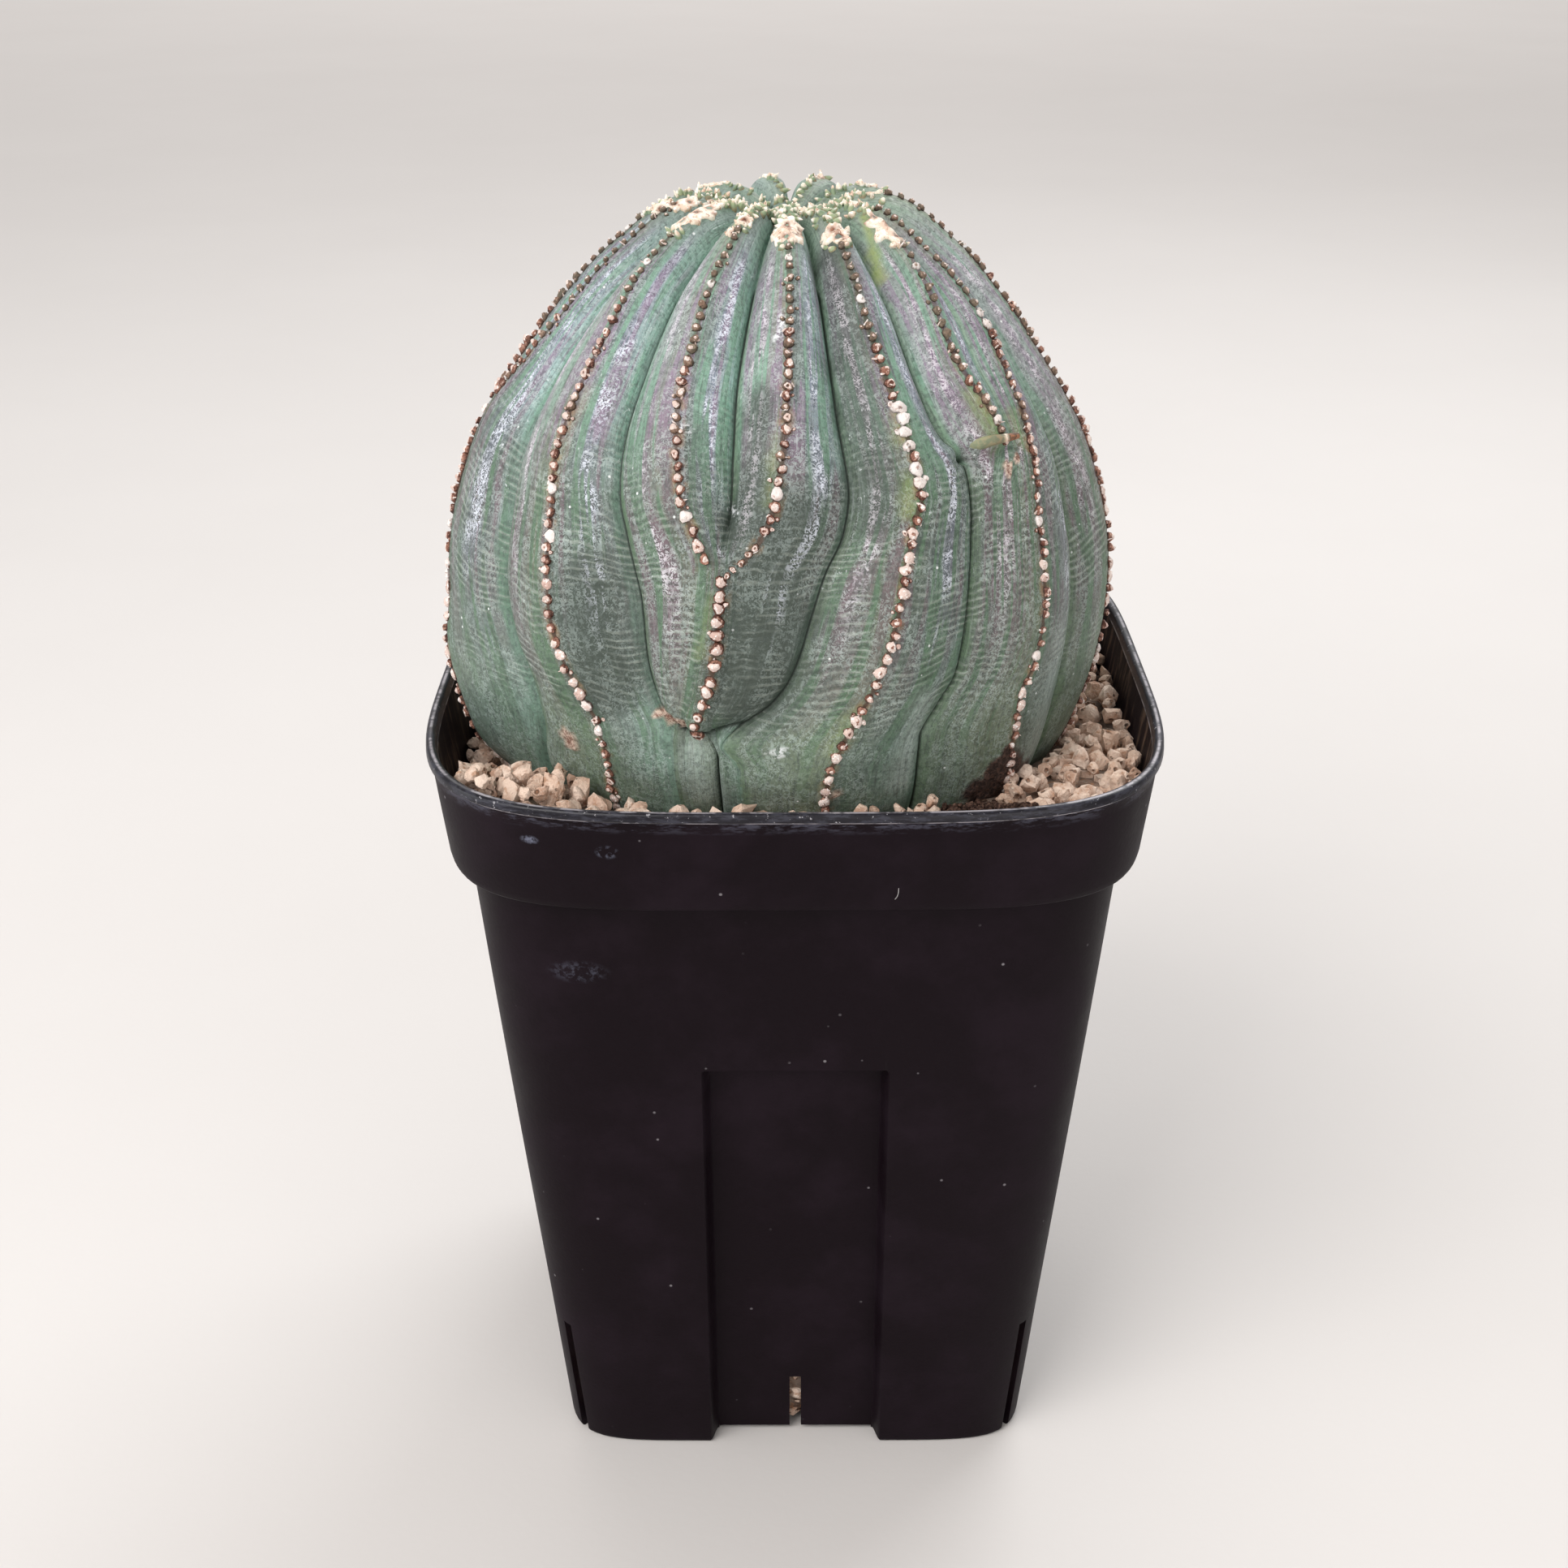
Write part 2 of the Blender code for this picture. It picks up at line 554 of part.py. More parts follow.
def build_plant(parts, material):
    bm = bmesh.new()
    rows = [[bm.verts.new(point * MM) for point in body_row(polar)] for polar in BODY_ROWS]
    top = bm.verts.new(plant_point(0.0, 0.0, crest_radius(0.0)) * MM)
    bottom = bm.verts.new(plant_point(180.0, 0.0, crest_radius(180.0)) * MM)
    count = len(rows[0])
    for i in range(count):
        j = (i + 1) % count
        bm.faces.new((top, rows[0][i], rows[0][j]))
        bm.faces.new((bottom, rows[-1][j], rows[-1][i]))
        for upper, lower in zip(rows, rows[1:]):
            bm.faces.new((upper[i], lower[i], lower[j], upper[j]))
    plant = add_object("plant", finish_mesh(bm, "plant", 40), parts, material)
    knobs = new_collection("plant_repeats")
    add_tubercles(knobs)
    add_crown_bracts(knobs)
    add_rib_ends(knobs)
    add_taproot(knobs)
    fuse(plant, knobs)
    return plant


# ---------------------------------------------------------------- potting mix

def soil_height(x, y):
    return SOIL_LEVEL + SOIL_FRONT_RISE * smooth_step((-y - SOIL_RISE_START) / SOIL_RISE_LENGTH)


def plant_reach(z):
    """The plant's largest radius at a height below its widest point."""
    low, high = 88.0, 180.0
    for _ in range(40):
        middle = (low + high) / 2.0
        if PLANT_CENTRE_Z + crest_radius(middle) * math.cos(math.radians(middle)) > z:
            low = middle
        else:
            high = middle
    return crest_radius(low) * math.sin(math.radians(low))


def from_plant(x, y, reach):
    away = Vector((x - PLANT_X, y - PLANT_Y)).normalized() * reach
    return PLANT_X + PLANT_BREADTH * away.x, PLANT_Y + away.y


def hole_ring(like, reach, height):
    """A ring round the plant with one point for each point of another ring."""
    return [(*from_plant(point[0], point[1], reach), height) for point in like]


def mix_sections():
    inset = WALL + GAP
    foot = POT_HEIGHT - COLLAR_HEIGHT
    sections = [
        body_section(BASE_PLATE_Z + BASE_PLATE_THICKNESS + GAP, inset, PANEL_DEPTH),
        body_section(PANEL_TOP + WALL, inset, PANEL_DEPTH),
        body_section(PANEL_TOP + WALL + LEDGE_DROP + GAP, inset, 0.0),
        body_section(foot + COLLAR_STEP, inset, 0.0),
        collar_section(foot + COLLAR_STEP + 1.1, COLLAR_FOOT_HALF - inset, COLLAR_POWER),
    ]
    edge = []
    for x, y in square_ring(RIM_HALF, RIM_POWER, 0.0, PANEL_HALF):
        z = soil_height(x, y)
        shrink = (collar_half(z) - inset) / RIM_HALF
        edge.append((x * shrink, y * shrink, z))
    brink = []
    for x, y, z in edge:
        for _ in range(4):
            hole_x, hole_y = from_plant(x, y, plant_reach(z) + HOLE_CLEARANCE)
            z = soil_height(hole_x, hole_y)
        brink.append((hole_x, hole_y, z))
    sections += [edge, brink]
    for share in HOLE_WALL_SHARES:
        ring = []
        for x, y, z in brink:
            z += (HOLE_TURN_Z - z) * share
            ring.append((*from_plant(x, y, plant_reach(z) + HOLE_CLEARANCE), z))
        sections.append(ring)
    under = PLANT_CENTRE_Z - crest_radius(180.0) - GAP
    root = ROOT_TOP_RADIUS + HOLE_CLEARANCE
    sections.append(hole_ring(edge, plant_reach(HOLE_TURN_Z) + HOLE_CLEARANCE, under))
    sections.append(hole_ring(edge, root, under))
    sections.append(hole_ring(edge, root, ROOT_END_Z - GAP))
    return sections


def granule_room(x, y):
    """Half the clear width for a granule at a point of the mouth, and the soil height there."""
    z = soil_height(x, y)
    angle = math.atan2(y, x)
    half = collar_half(z) - WALL - GAP
    wall = square_reach(angle, half, RIM_POWER) - math.hypot(x, y)
    away = math.hypot((x - PLANT_X) / PLANT_BREADTH, y - PLANT_Y)
    beside = away - plant_reach(z + GRANULE_LARGEST) - TUBERCLE_HEIGHT - GAP
    return min(wall * 0.92, beside) - GAP, z


def place_granules():
    """Centres and radii of granules scattered over the mouth of the pot, touching but not stacked."""
    chance = random.Random(GRANULE_SEED)
    placed = []
    for trial in range(GRANULE_TRIES):
        x = chance.uniform(-RIM_HALF, RIM_HALF)
        y = chance.uniform(-RIM_HALF, RIM_HALF)
        room, z = granule_room(x, y)
        radius = min(room, chance.uniform(0.8, 1.0) * GRANULE_LARGEST)
        if radius < GRANULE_SMALLEST:
            continue
        if all(math.hypot(x - px, y - py) > GRANULE_SPACING * (radius + pr)
               for px, py, _, pr in placed):
            placed.append((x, y, z + radius * chance.uniform(0.05, 0.4), radius))
    return placed


def add_granules(grains):
    chance = random.Random(GRANULE_SEED + 1)
    for index, (x, y, z, radius) in enumerate(place_granules()):
        bm = bmesh.new()
        bmesh.ops.create_cube(bm, size=GRANULE_CUBE * radius * MM)
        for vert in bm.verts:
            vert.co *= chance.uniform(0.78, 1.05)
        spin = Matrix.Rotation(chance.uniform(0.0, 6.28), 3, "Z") @ Matrix.Rotation(
            chance.uniform(0.0, 6.28), 3, "X")
        bmesh.ops.rotate(bm, verts=bm.verts, matrix=spin)
        bmesh.ops.translate(bm, verts=bm.verts, vec=Vector((x, y, z)) * MM)
        mesh = bpy.data.meshes.new(f"granule_{index}")
        bm.to_mesh(mesh)
        bm.free()
        add_object(f"granule_{index}", mesh, grains)


def build_potting_mix(parts, material):
    bm = bmesh.new()
    loft_rings(bm, mix_sections())
    mix = add_object("potting_mix", finish_mesh(bm, "potting_mix", 30), parts, material)
    grains = new_collection("mix_repeats")
    add_granules(grains)
    fuse(mix, grains)
    return mix


def main():
    clear_scene()
    parts = new_collection("baseball_plant")
    cutters = new_collection("cutters")
    build_pot(parts, cutters, make_material("black_plastic", (0.012, 0.011, 0.013), 0.5))
    build_potting_mix(parts, make_material("tan_granules", (0.52, 0.33, 0.19), 0.95))
    build_plant(parts, make_material("plant_skin", (0.16, 0.24, 0.17), 0.6))


main()
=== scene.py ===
"""Looks for the potted baseball plant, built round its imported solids.

Order: sizes and tables, helpers, node materials, then each piece, the assembly and the stage.

Lengths are in millimetres and angles in degrees until a mesh is made, which is in metres.
The plant is described by polar angle from its crown and azimuth from the front, towards +X.
"""

import math
import random
from types import SimpleNamespace

import bmesh
import bpy
import numpy as np
from mathutils import Matrix, Vector


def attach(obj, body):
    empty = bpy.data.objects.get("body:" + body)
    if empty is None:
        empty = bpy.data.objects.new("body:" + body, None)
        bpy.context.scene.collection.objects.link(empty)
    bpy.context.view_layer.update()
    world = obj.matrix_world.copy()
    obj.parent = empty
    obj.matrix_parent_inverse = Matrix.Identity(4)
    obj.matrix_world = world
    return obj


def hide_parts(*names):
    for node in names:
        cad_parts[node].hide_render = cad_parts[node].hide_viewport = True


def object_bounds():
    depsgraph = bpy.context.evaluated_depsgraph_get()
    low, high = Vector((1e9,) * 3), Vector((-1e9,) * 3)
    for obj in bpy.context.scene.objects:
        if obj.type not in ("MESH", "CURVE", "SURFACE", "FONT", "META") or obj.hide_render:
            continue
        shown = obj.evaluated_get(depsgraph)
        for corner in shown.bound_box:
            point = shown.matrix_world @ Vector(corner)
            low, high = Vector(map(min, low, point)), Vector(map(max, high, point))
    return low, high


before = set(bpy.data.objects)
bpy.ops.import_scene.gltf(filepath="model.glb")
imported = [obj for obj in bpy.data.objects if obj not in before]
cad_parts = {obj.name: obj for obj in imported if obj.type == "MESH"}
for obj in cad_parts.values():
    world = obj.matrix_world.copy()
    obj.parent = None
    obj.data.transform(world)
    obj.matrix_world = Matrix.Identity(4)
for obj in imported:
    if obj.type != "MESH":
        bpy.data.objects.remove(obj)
cad_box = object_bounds()

MM = 0.001

# Pot
POT_HEIGHT = 120.0
RIM_HALF = 52.5
BASE_HALF = 36.85
BODY_TOP_HALF = 47.95
COLLAR_HEIGHT = 16.0
COLLAR_FOOT_HALF = 49.8
WALL = 1.1
LIP_HEIGHT = 1.6
LIP_STANDOFF = 0.3
RIM_POWER = 4.2
COLLAR_POWER = 4.8
BODY_TOP_POWER = 6.0
BASE_POWER = 8.0
PANEL_TOP = 75.0
PANEL_HALF = 13.4
PANEL_SLOPE = 1.2
PANEL_DEPTH = 3.0
LEDGE_DROP = 0.6
BASE_PLATE_Z = 1.4
BASE_PLATE_THICKNESS = 1.2
FOOT_RIM = 1.9
FOOT_ARCH = 0.9
# Fibres on the collar: x, lowest z, length, bend and lean to the right.
LINT = [(13.2, 106.3, 1.8, 0.12, 0.15)]
# Marks on the front of the pot: x, z, half width, half height, strength.
SMUDGES = [(-35.1, 114.7, 1.5, 0.8, 0.8), (-24.8, 113.7, 1.8, 1.2, 0.8), (-0.7, 60.0, 0.22, 3.2, 0.9),
           (-30.0, 92.0, 5.0, 2.2, 0.25)]

# Where the pot's front wall begins, in metres along y, and the painted highlight line under the rim.
FRONT_WALL = (-0.040, -0.042)
HIGHLIGHT_LINE = 118.52

# Potting mix
SOIL_LEVEL = 110.0
SOIL_FRONT_RISE = 6.0
SOIL_RISE_START = 12.0
SOIL_RISE_LENGTH = 32.0
SOIL_RIGHT_RISE = 2.6
SOIL_LEFT_DROP = 1.4

# Plant
PLANT_X = -2.2
PLANT_Y = -1.8
PLANT_CENTRE_Z = 135.0
PLANT_BREADTH = 1.03
CROWN_LEAN = 1.3
CROWN_HEIGHT = 55.0
FLANK_DROP = 1.1
CREST_RADIUS = [
    (0, 50.5), (5, 52.3), (10, 55.0), (16, 56.0), (24, 54.6), (36, 51.4), (48, 49.0),
    (60, 47.6), (72, 46.8), (84, 46.7), (96, 46.4), (108, 46.7), (120, 47.3), (128, 46.8),
    (136, 44.5), (145, 40.3), (155, 36.4), (168, 33.7), (180, 33.0),
]
FURROW_DEPTH = [
    (0, 0.5), (5, 2.0), (10, 4.2), (18, 4.8), (30, 4.2), (50, 3.6), (75, 3.2),
    (100, 2.8), (118, 2.2), (132, 0.8), (150, 0.0), (180, 0.0),
]
FACE_ROUNDNESS = 2.4
LOBE_ROUNDNESS = 2.6
CREST_PEAK = 0.07

CREST = [(0, 1.0)]
FURROW = [(0, 0.0)]
FORKED_CREST = [(0, 1.0), (56, 1.0), (66, 0.93)]
MERGING_CREST = [(0, 1.0), (66, 1.0), (73, 0.9), (94, 0.85), (99, 0.2), (103, 0.62), (130, 0.7)]
CLOSING_FURROW = [(0, 0.0), (96.5, 0.0), (100.5, 0.62), (130, 0.7)]

# Every rib line: name, azimuth at each polar angle, and level from furrow (0) to crest (1).
RIB_LINES = [
    ("furrow_jk", [(0, -182), (40, -183), (80, -181), (130, -180)], FURROW),
    ("rib_k", [(0, -170), (40, -170), (80, -163), (130, -160)], CREST),
    ("furrow_kl", [(0, -157), (40, -154), (80, -143), (130, -140)], FURROW),
    ("rib_l", [(0, -142), (20, -133), (40, -131), (80, -123), (130, -119)], CREST),
    ("furrow_la", [(0, -126), (20, -113), (30, -109), (50, -108), (70, -104), (100, -98),
                   (130, -97)], FURROW),
    ("rib_a_back", [(0, -110), (14, -99), (20, -94), (30, -92), (45, -95), (56, -93.5), (64, -91.5),
                    (80, -88.5), (90, -82.5), (110, -77), (130, -76)], FORKED_CREST),
    ("rib_a", [(0, -98), (20, -84), (30, -83), (45, -87.5), (56, -90.5), (64, -88.5), (75, -86.5),
               (82, -84.5), (90, -79.5), (100, -77.5), (111, -73.5), (130, -72)],
     [(0, 0.25), (35, 0.4), (50, 0.7), (58, 1.0)]),
    ("rib_a_front", [(0, -86), (14, -79), (20, -75.5), (36, -75), (43, -79), (48, -82.5), (56, -87.3),
                     (64, -85.5), (80, -82.5), (90, -76.5), (110, -70), (130, -68)], FORKED_CREST),
    ("furrow_ab", [(0, -72), (14, -66), (25, -65.5), (32, -67), (43, -67), (51, -64.7), (59, -62.3),
                   (67, -59.8), (79, -56.5), (89, -52.6), (96, -49.3), (104, -47.3), (116, -51),
                   (130, -52)], FURROW),
    ("rib_b", [(0, -59), (13, -52), (18, -49.5), (22, -48.2), (30, -47.6), (38, -45.9), (47, -46.2),
               (58, -44.8), (62, -43.3), (67, -42), (73, -41.2), (82, -38.9), (86, -37.5), (91, -35),
               (95, -32.7), (99, -30.5), (105, -29.5), (111, -30.4), (130, -31)], CREST),
    ("furrow_bc", [(0, -42), (12, -38), (19, -36.5), (37, -35.3), (52, -33.8), (60, -31.6),
                   (66, -28.6), (77, -24), (89, -22), (95, -20), (99, -17.3), (130, -18)],
     CLOSING_FURROW),
    ("rib_c", [(0, -26), (12, -20.3), (20, -20.3), (28, -21.4), (43, -21.3), (51, -20), (56, -18.3),
               (61, -16.8), (65, -14.2), (70, -11.7), (80, -12.3), (90, -14), (97, -15.5), (130, -15)],
     MERGING_CREST),
    ("rib_cd", [(0, -12), (22, -10.5), (38, -10.7), (51, -9.6), (61, -9), (67, -9.2), (70, -8.9),
                (78, -9.2), (83, -9.6), (88, -10.5), (94, -12.2), (98, -13.4), (100.5, -11.4),
                (103, -10.2), (130, -10.8)],
     [(0, 0.0), (58, 0.05), (66, 0.5), (71, 1.0), (96.5, 1.0), (99.2, 0.25), (101, 0.1), (130, 0.1)]),
    ("rib_d", [(0, 0.5), (17, 0.8), (31, 1.3), (44, 1), (55, 0.1), (61, -1.1), (66, -3.4), (70, -6.2),
               (80, -7), (90, -8.6), (97, -11.2), (104, -9), (130, -9)], MERGING_CREST),
    ("furrow_de", [(0, 13), (14, 12.3), (24, 11.6), (45, 12.2), (57, 13.3), (64, 11.8), (71, 8),
                   (78, 5.5), (84, 3.7), (89, 1.8), (93, -1), (97, -6), (100, -9.2), (104, -6.5),
                   (130, -6)],
     CLOSING_FURROW),
    ("rib_e", [(0, 26), (15, 21.8), (22, 20.2), (31, 20.7), (37, 21.3), (44, 22.9), (54, 24.7),
               (60, 25), (65, 22.9), (71, 20.8), (78, 19), (85, 16.6), (90, 14.8), (94, 12.7),
               (101, 9.6), (106, 7.8), (130, 7.8)], CREST),
    ("furrow_eg", [(0, 39), (14, 34.5), (24, 32.8), (39, 32.8), (47, 33.7), (53, 36.1), (56.5, 38.8),
                   (62, 38.3), (69, 36.6), (81, 33.5), (91, 31.4), (96, 28.2), (102, 25.2), (117, 26),
                   (130, 26)], FURROW),
    ("rib_f", [(0, 47), (15, 44), (23, 44.4), (31, 42.8), (38, 41.3), (41, 41.4), (44, 42.6),
               (48, 45), (55, 46.6), (60, 43.5), (69, 41.5), (90, 37), (103, 31.5), (130, 32)],
     [(0, 1.0), (54.6, 1.0), (56.0, 0.55), (70, 0.5)]),
    ("furrow_fg", [(0, 53), (15, 49), (23, 50), (34, 50.8), (42, 49.8), (48, 50.8), (57, 49.3),
                   (62, 47.5), (69, 45.7), (90, 42), (97, 38.5), (103, 37), (114, 38.5), (130, 39)],
     [(0, 0.3), (16, 0.45), (30, 0.62), (52, 0.7), (57.5, 0.85)]),
    ("rib_g", [(0, 60), (14, 54.5), (20, 54.2), (25, 55.8), (33, 59), (36, 58.8), (42, 57),
               (50, 56), (56, 53.4), (61, 51.8), (68, 49.7), (77, 48.7), (86, 47.4), (93, 45.3),
               (97, 43.5), (106, 43.7), (114, 46), (130, 48)], CREST),
    ("furrow_gh", [(0, 80), (16, 75), (32, 74.5), (50, 71.5), (69, 67), (90, 63.5), (110, 62),
                   (130, 62)], FURROW),
    ("rib_h", [(0, 97), (21, 93.5), (32, 90), (44, 88), (55, 86.5), (65, 85.5), (76, 84.5), (82, 83.5),
               (88, 80.5), (94, 79), (110, 78), (130, 78)], CREST),
    ("furrow_hi", [(0, 113), (32, 109), (60, 105), (90, 99), (130, 98)], FURROW),
    ("rib_i", [(0, 129), (40, 126), (80, 121), (130, 119)], CREST),
    ("furrow_ij", [(0, 145), (40, 144), (80, 141), (130, 139)], FURROW),
    ("rib_j", [(0, 162), (40, 161), (80, 160), (130, 159)], CREST),
]
LINE_NAMES = [name for name, _, _ in RIB_LINES]
# Ribs that run as one below their forks: furrow, crest, furrow, and the polar angles of the change.
MERGES = [("furrow_la", "rib_a", "furrow_ab", 57.0, 64.0), ("furrow_bc", "rib_cd", "furrow_de", 65.0, 72.0),
          ("furrow_eg", "rib_g", "furrow_gh", 55.0, 61.0)]

# Tubercle chains: rib line, first and last polar angle.
CHAINS = [
    ("rib_k", 21, 125), ("rib_l", 19, 125), ("rib_a_back", 21, 57.5), ("rib_a_front", 16, 56),
    ("rib_a", 59, 125), ("rib_b", 21, 125), ("rib_c", 18.5, 69.2), ("rib_d", 21.4, 65.5),
    ("rib_cd", 72, 98.2), ("rib_e", 21.6, 118), ("rib_f", 22.8, 55.2), ("rib_g", 15, 123),
    ("rib_h", 14, 125), ("rib_i", 19, 125), ("rib_j", 21, 125),
]


# ---------------------------------------------------------------- numbers

def curve(points, at):
    """Smooth monotone curve through (position, value) points, level beyond its ends."""
    at = np.asarray(at, float)
    if len(points) == 1:
        return np.full(at.shape, float(points[0][1]))
    x = np.array([p[0] for p in points], float)
    y = np.array([p[1] for p in points], float)
    span = np.diff(x)
    rise = np.diff(y) / span
    slope = np.zeros_like(y)
    product = rise[:-1] * rise[1:]
    total = rise[:-1] + rise[1:]
    safe = np.where(product > 0, total, 1.0)
    slope[1:-1] = np.where(product > 0, 2.0 * product / safe, 0.0)
    slope[0] = rise[0]
    slope[-1] = rise[-1]
    at = np.clip(at, x[0], x[-1])
    i = np.clip(np.searchsorted(x, at, side="right") - 1, 0, len(span) - 1)
    t = (at - x[i]) / span[i]
    return ((2 * t ** 3 - 3 * t ** 2 + 1) * y[i] + (t ** 3 - 2 * t ** 2 + t) * span[i] * slope[i]
            + (3 * t ** 2 - 2 * t ** 3) * y[i + 1] + (t ** 3 - t ** 2) * span[i] * slope[i + 1])


def smooth(t):
    """0 below 0 and 1 above 1, with an even S-curve between them."""
    t = np.clip(t, 0.0, 1.0)
    return t * t * (3.0 - 2.0 * t)


def lattice(ix, iy, iz, seed):
    """A repeatable value from 0 to 1 at each whole-number point."""
    h = (ix.astype(np.uint32) * np.uint32(374761393) + iy.astype(np.uint32) * np.uint32(668265263)
         + iz.astype(np.uint32) * np.uint32(2147483029) + np.uint32((seed * 2246822519) % 2 ** 32))
    h = (h ^ (h >> np.uint32(13))) * np.uint32(1274126177)
    h = (h ^ (h >> np.uint32(16))) * np.uint32(2246822519)
    h ^= h >> np.uint32(15)
    return h.astype(float) / 4294967295.0


def noise_at(x, y, z, size, seed):
    """Smooth noise from -1 to 1 with features of a size in millimetres."""
    q = np.stack([np.asarray(v, float) + np.zeros_like(np.asarray(x, float)) for v in (x, y, z)]) / size
    cell = np.floor(q).astype(np.int64)
    f = q - cell
    f = f * f * (3.0 - 2.0 * f)
    total = np.zeros(q.shape[1:])
    for corner in range(8):
        dx, dy, dz = corner & 1, (corner >> 1) & 1, corner >> 2
        weight = ((f[0] if dx else 1 - f[0]) * (f[1] if dy else 1 - f[1]) * (f[2] if dz else 1 - f[2]))
        total += weight * lattice(cell[0] + dx, cell[1] + dy, cell[2] + dz, seed)
    return 2.0 * total - 1.0


# ---------------------------------------------------------------- plant skin

ARC_POLAR = np.linspace(0.0, 180.0, 1441)
ARC_RADIUS = curve(CREST_RADIUS, ARC_POLAR)
ARC_MIDDLE = np.radians(np.diff(ARC_POLAR)) * (ARC_RADIUS[1:] + ARC_RADIUS[:-1]) / 2.0
ARC_LENGTH = np.concatenate([[0.0], np.cumsum(np.hypot(np.diff(ARC_RADIUS), ARC_MIDDLE))])


def line_tables(polar):
    """Azimuth and level of every rib line at each polar angle, closed by the first line again."""
    turn = np.stack([curve(track, polar) for _, track, _ in RIB_LINES])
    level = np.stack([curve(levels, polar) for _, _, levels in RIB_LINES])
    return (np.concatenate([turn, turn[:1] + 360.0]), np.concatenate([level, level[:1]]))


def line_azimuth(name, polar):
    return curve(RIB_LINES[LINE_NAMES.index(name)][1], polar)


def place_on_plant(polar, azimuth, radius):
    """Points of the plant, with its crown leaning a little."""
    tilt = np.radians(polar)
    turn = np.radians(azimuth)
    z = PLANT_CENTRE_Z + radius * np.cos(tilt)
    rise = np.maximum(0.0, (z - PLANT_CENTRE_Z) / CROWN_HEIGHT)
    reach = radius * np.sin(tilt)
    x = PLANT_X + CROWN_LEAN * rise * rise + PLANT_BREADTH * reach * np.sin(turn)
    return np.stack([x, PLANT_Y - reach * np.cos(turn), z], axis=-1)


def path_distance(across, along, path):
    """Distance in millimetres from skin points to a path of (azimuth, polar) points."""
    best = np.full(across.shape, 1e3)
    for (a0, p0), (a1, p1) in zip(path, path[1:]):
        reach = reach_of((p0 + p1) / 2.0)
        x0, x1 = np.radians(a0) * reach, np.radians(a1) * reach
        y0, y1 = np.interp([p0, p1], ARC_POLAR, ARC_LENGTH)
        here = np.radians(across) * reach
        dx, dy = x1 - x0, y1 - y0
        t = np.clip(((here - x0) * dx + (along - y0) * dy) / (dx * dx + dy * dy), 0.0, 1.0)
        best = np.minimum(best, np.hypot(here - x0 - t * dx, along - y0 - t * dy))
    return best


def reach_of(polar):
    """Distance of a crest from the plant's axis."""
    return float(curve(CREST_RADIUS, polar)) * math.sin(math.radians(polar))


# Shallow creases and folds that cross or leave the furrows: path, depth, half width.
CREASES = [
    ([(-33.2, 92.5), (-30.5, 95.4), (-28.9, 98.2), (-28.2, 101.5)], 0.30, 0.7),
    ([(-34.4, 94.5), (-33.8, 100.8), (-37.0, 108.3), (-39.5, 114), (-40.5, 120)], 0.30, 0.9),
    ([(28.2, 75), (27.4, 79.6), (26.4, 85.3), (24.1, 91.1), (21.8, 96)], 0.12, 0.6),
    ([(34.6, 74), (34.1, 81.0), (31.9, 87.7)], 0.10, 0.6),
    ([(-18.2, 96.6), (-16.4, 98.4), (-14.0, 99.5), (-11.6, 99.0), (-8.8, 97.4), (-6.2, 96.6)], 0.75, 0.45),
    ([(36.8, 54.7), (38.6, 55.0)], 1.1, 0.55), ([(35.2, 56.0), (38.0, 55.6), (42.5, 55.6)], 0.35, 0.4),
]
# Spacing of the raised bands, and of the light and dark growth lines.
BAND_SPACING = 1.9
LINE_SPACING = 1.08
# Swellings: path, height, half width.
SWELLS = [
    ([(-28, 100.5), (-24.5, 98.6), (-21, 97.9), (-18.6, 99.0)], 0.55, 1.6),
    ([(-8.5, 99.2), (-5.2, 97.0), (-1.0, 95.0)], 0.5, 1.6),
    ([(-22, 105), (-15, 106)], 0.9, 5.0),
    ([(-4, 105), (3, 106)], 0.9, 5.0),
    ([(-44, 102), (-45, 112)], 0.5, 3.0),
    ([(-78, 101), (-74, 106), (-72, 112)], 2.0, 7.0),
    ([(33.6, 53.8), (35.4, 53.6)], 0.8, 1.2),
    ([(-171, 11), (-169, 15)], 0.45, 2.6), ([(163, 11), (163, 15)], 0.3, 2.6),
]
# Folds down each face: place from furrow to crest, depth.
FOLDS = [(0.24, 0.09), (0.46, 0.07)]
# Crusts of mud: path, half width.
MUD = [
    ([(43.6, 108.5), (44.5, 111)], 1.7), ([(41.5, 112), (46.5, 113)], 2.6),
    ([(40.0, 116), (50, 116.5)], 3.4), ([(38.5, 121), (53, 122)], 3.6),
]
# Yellow patches: path, half width, strength.
YELLOW = [
    ([(41.0, 15.5), (36.4, 20.5), (34.2, 25)], 0.9, 0.9), ([(23.2, 47.5), (23.0, 51.5)], 1.8, 0.4),
    ([(23.4, 58.0), (22.4, 62)], 2.2, 0.5), ([(42.5, 47), (44.8, 53.6)], 2.6, 0.5),
    ([(12.0, 94), (9.0, 100)], 2.2, 0.35), ([(-10.6, 74), (-12.2, 84)], 0.9, 0.25),
    ([(-44.0, 46), (-44.0, 62)], 1.5, 0.3), ([(52.5, 51), (51.0, 56)], 1.6, 0.4),
    ([(-0.8, 50), (-2.0, 60)], 1.6, 0.3),
]
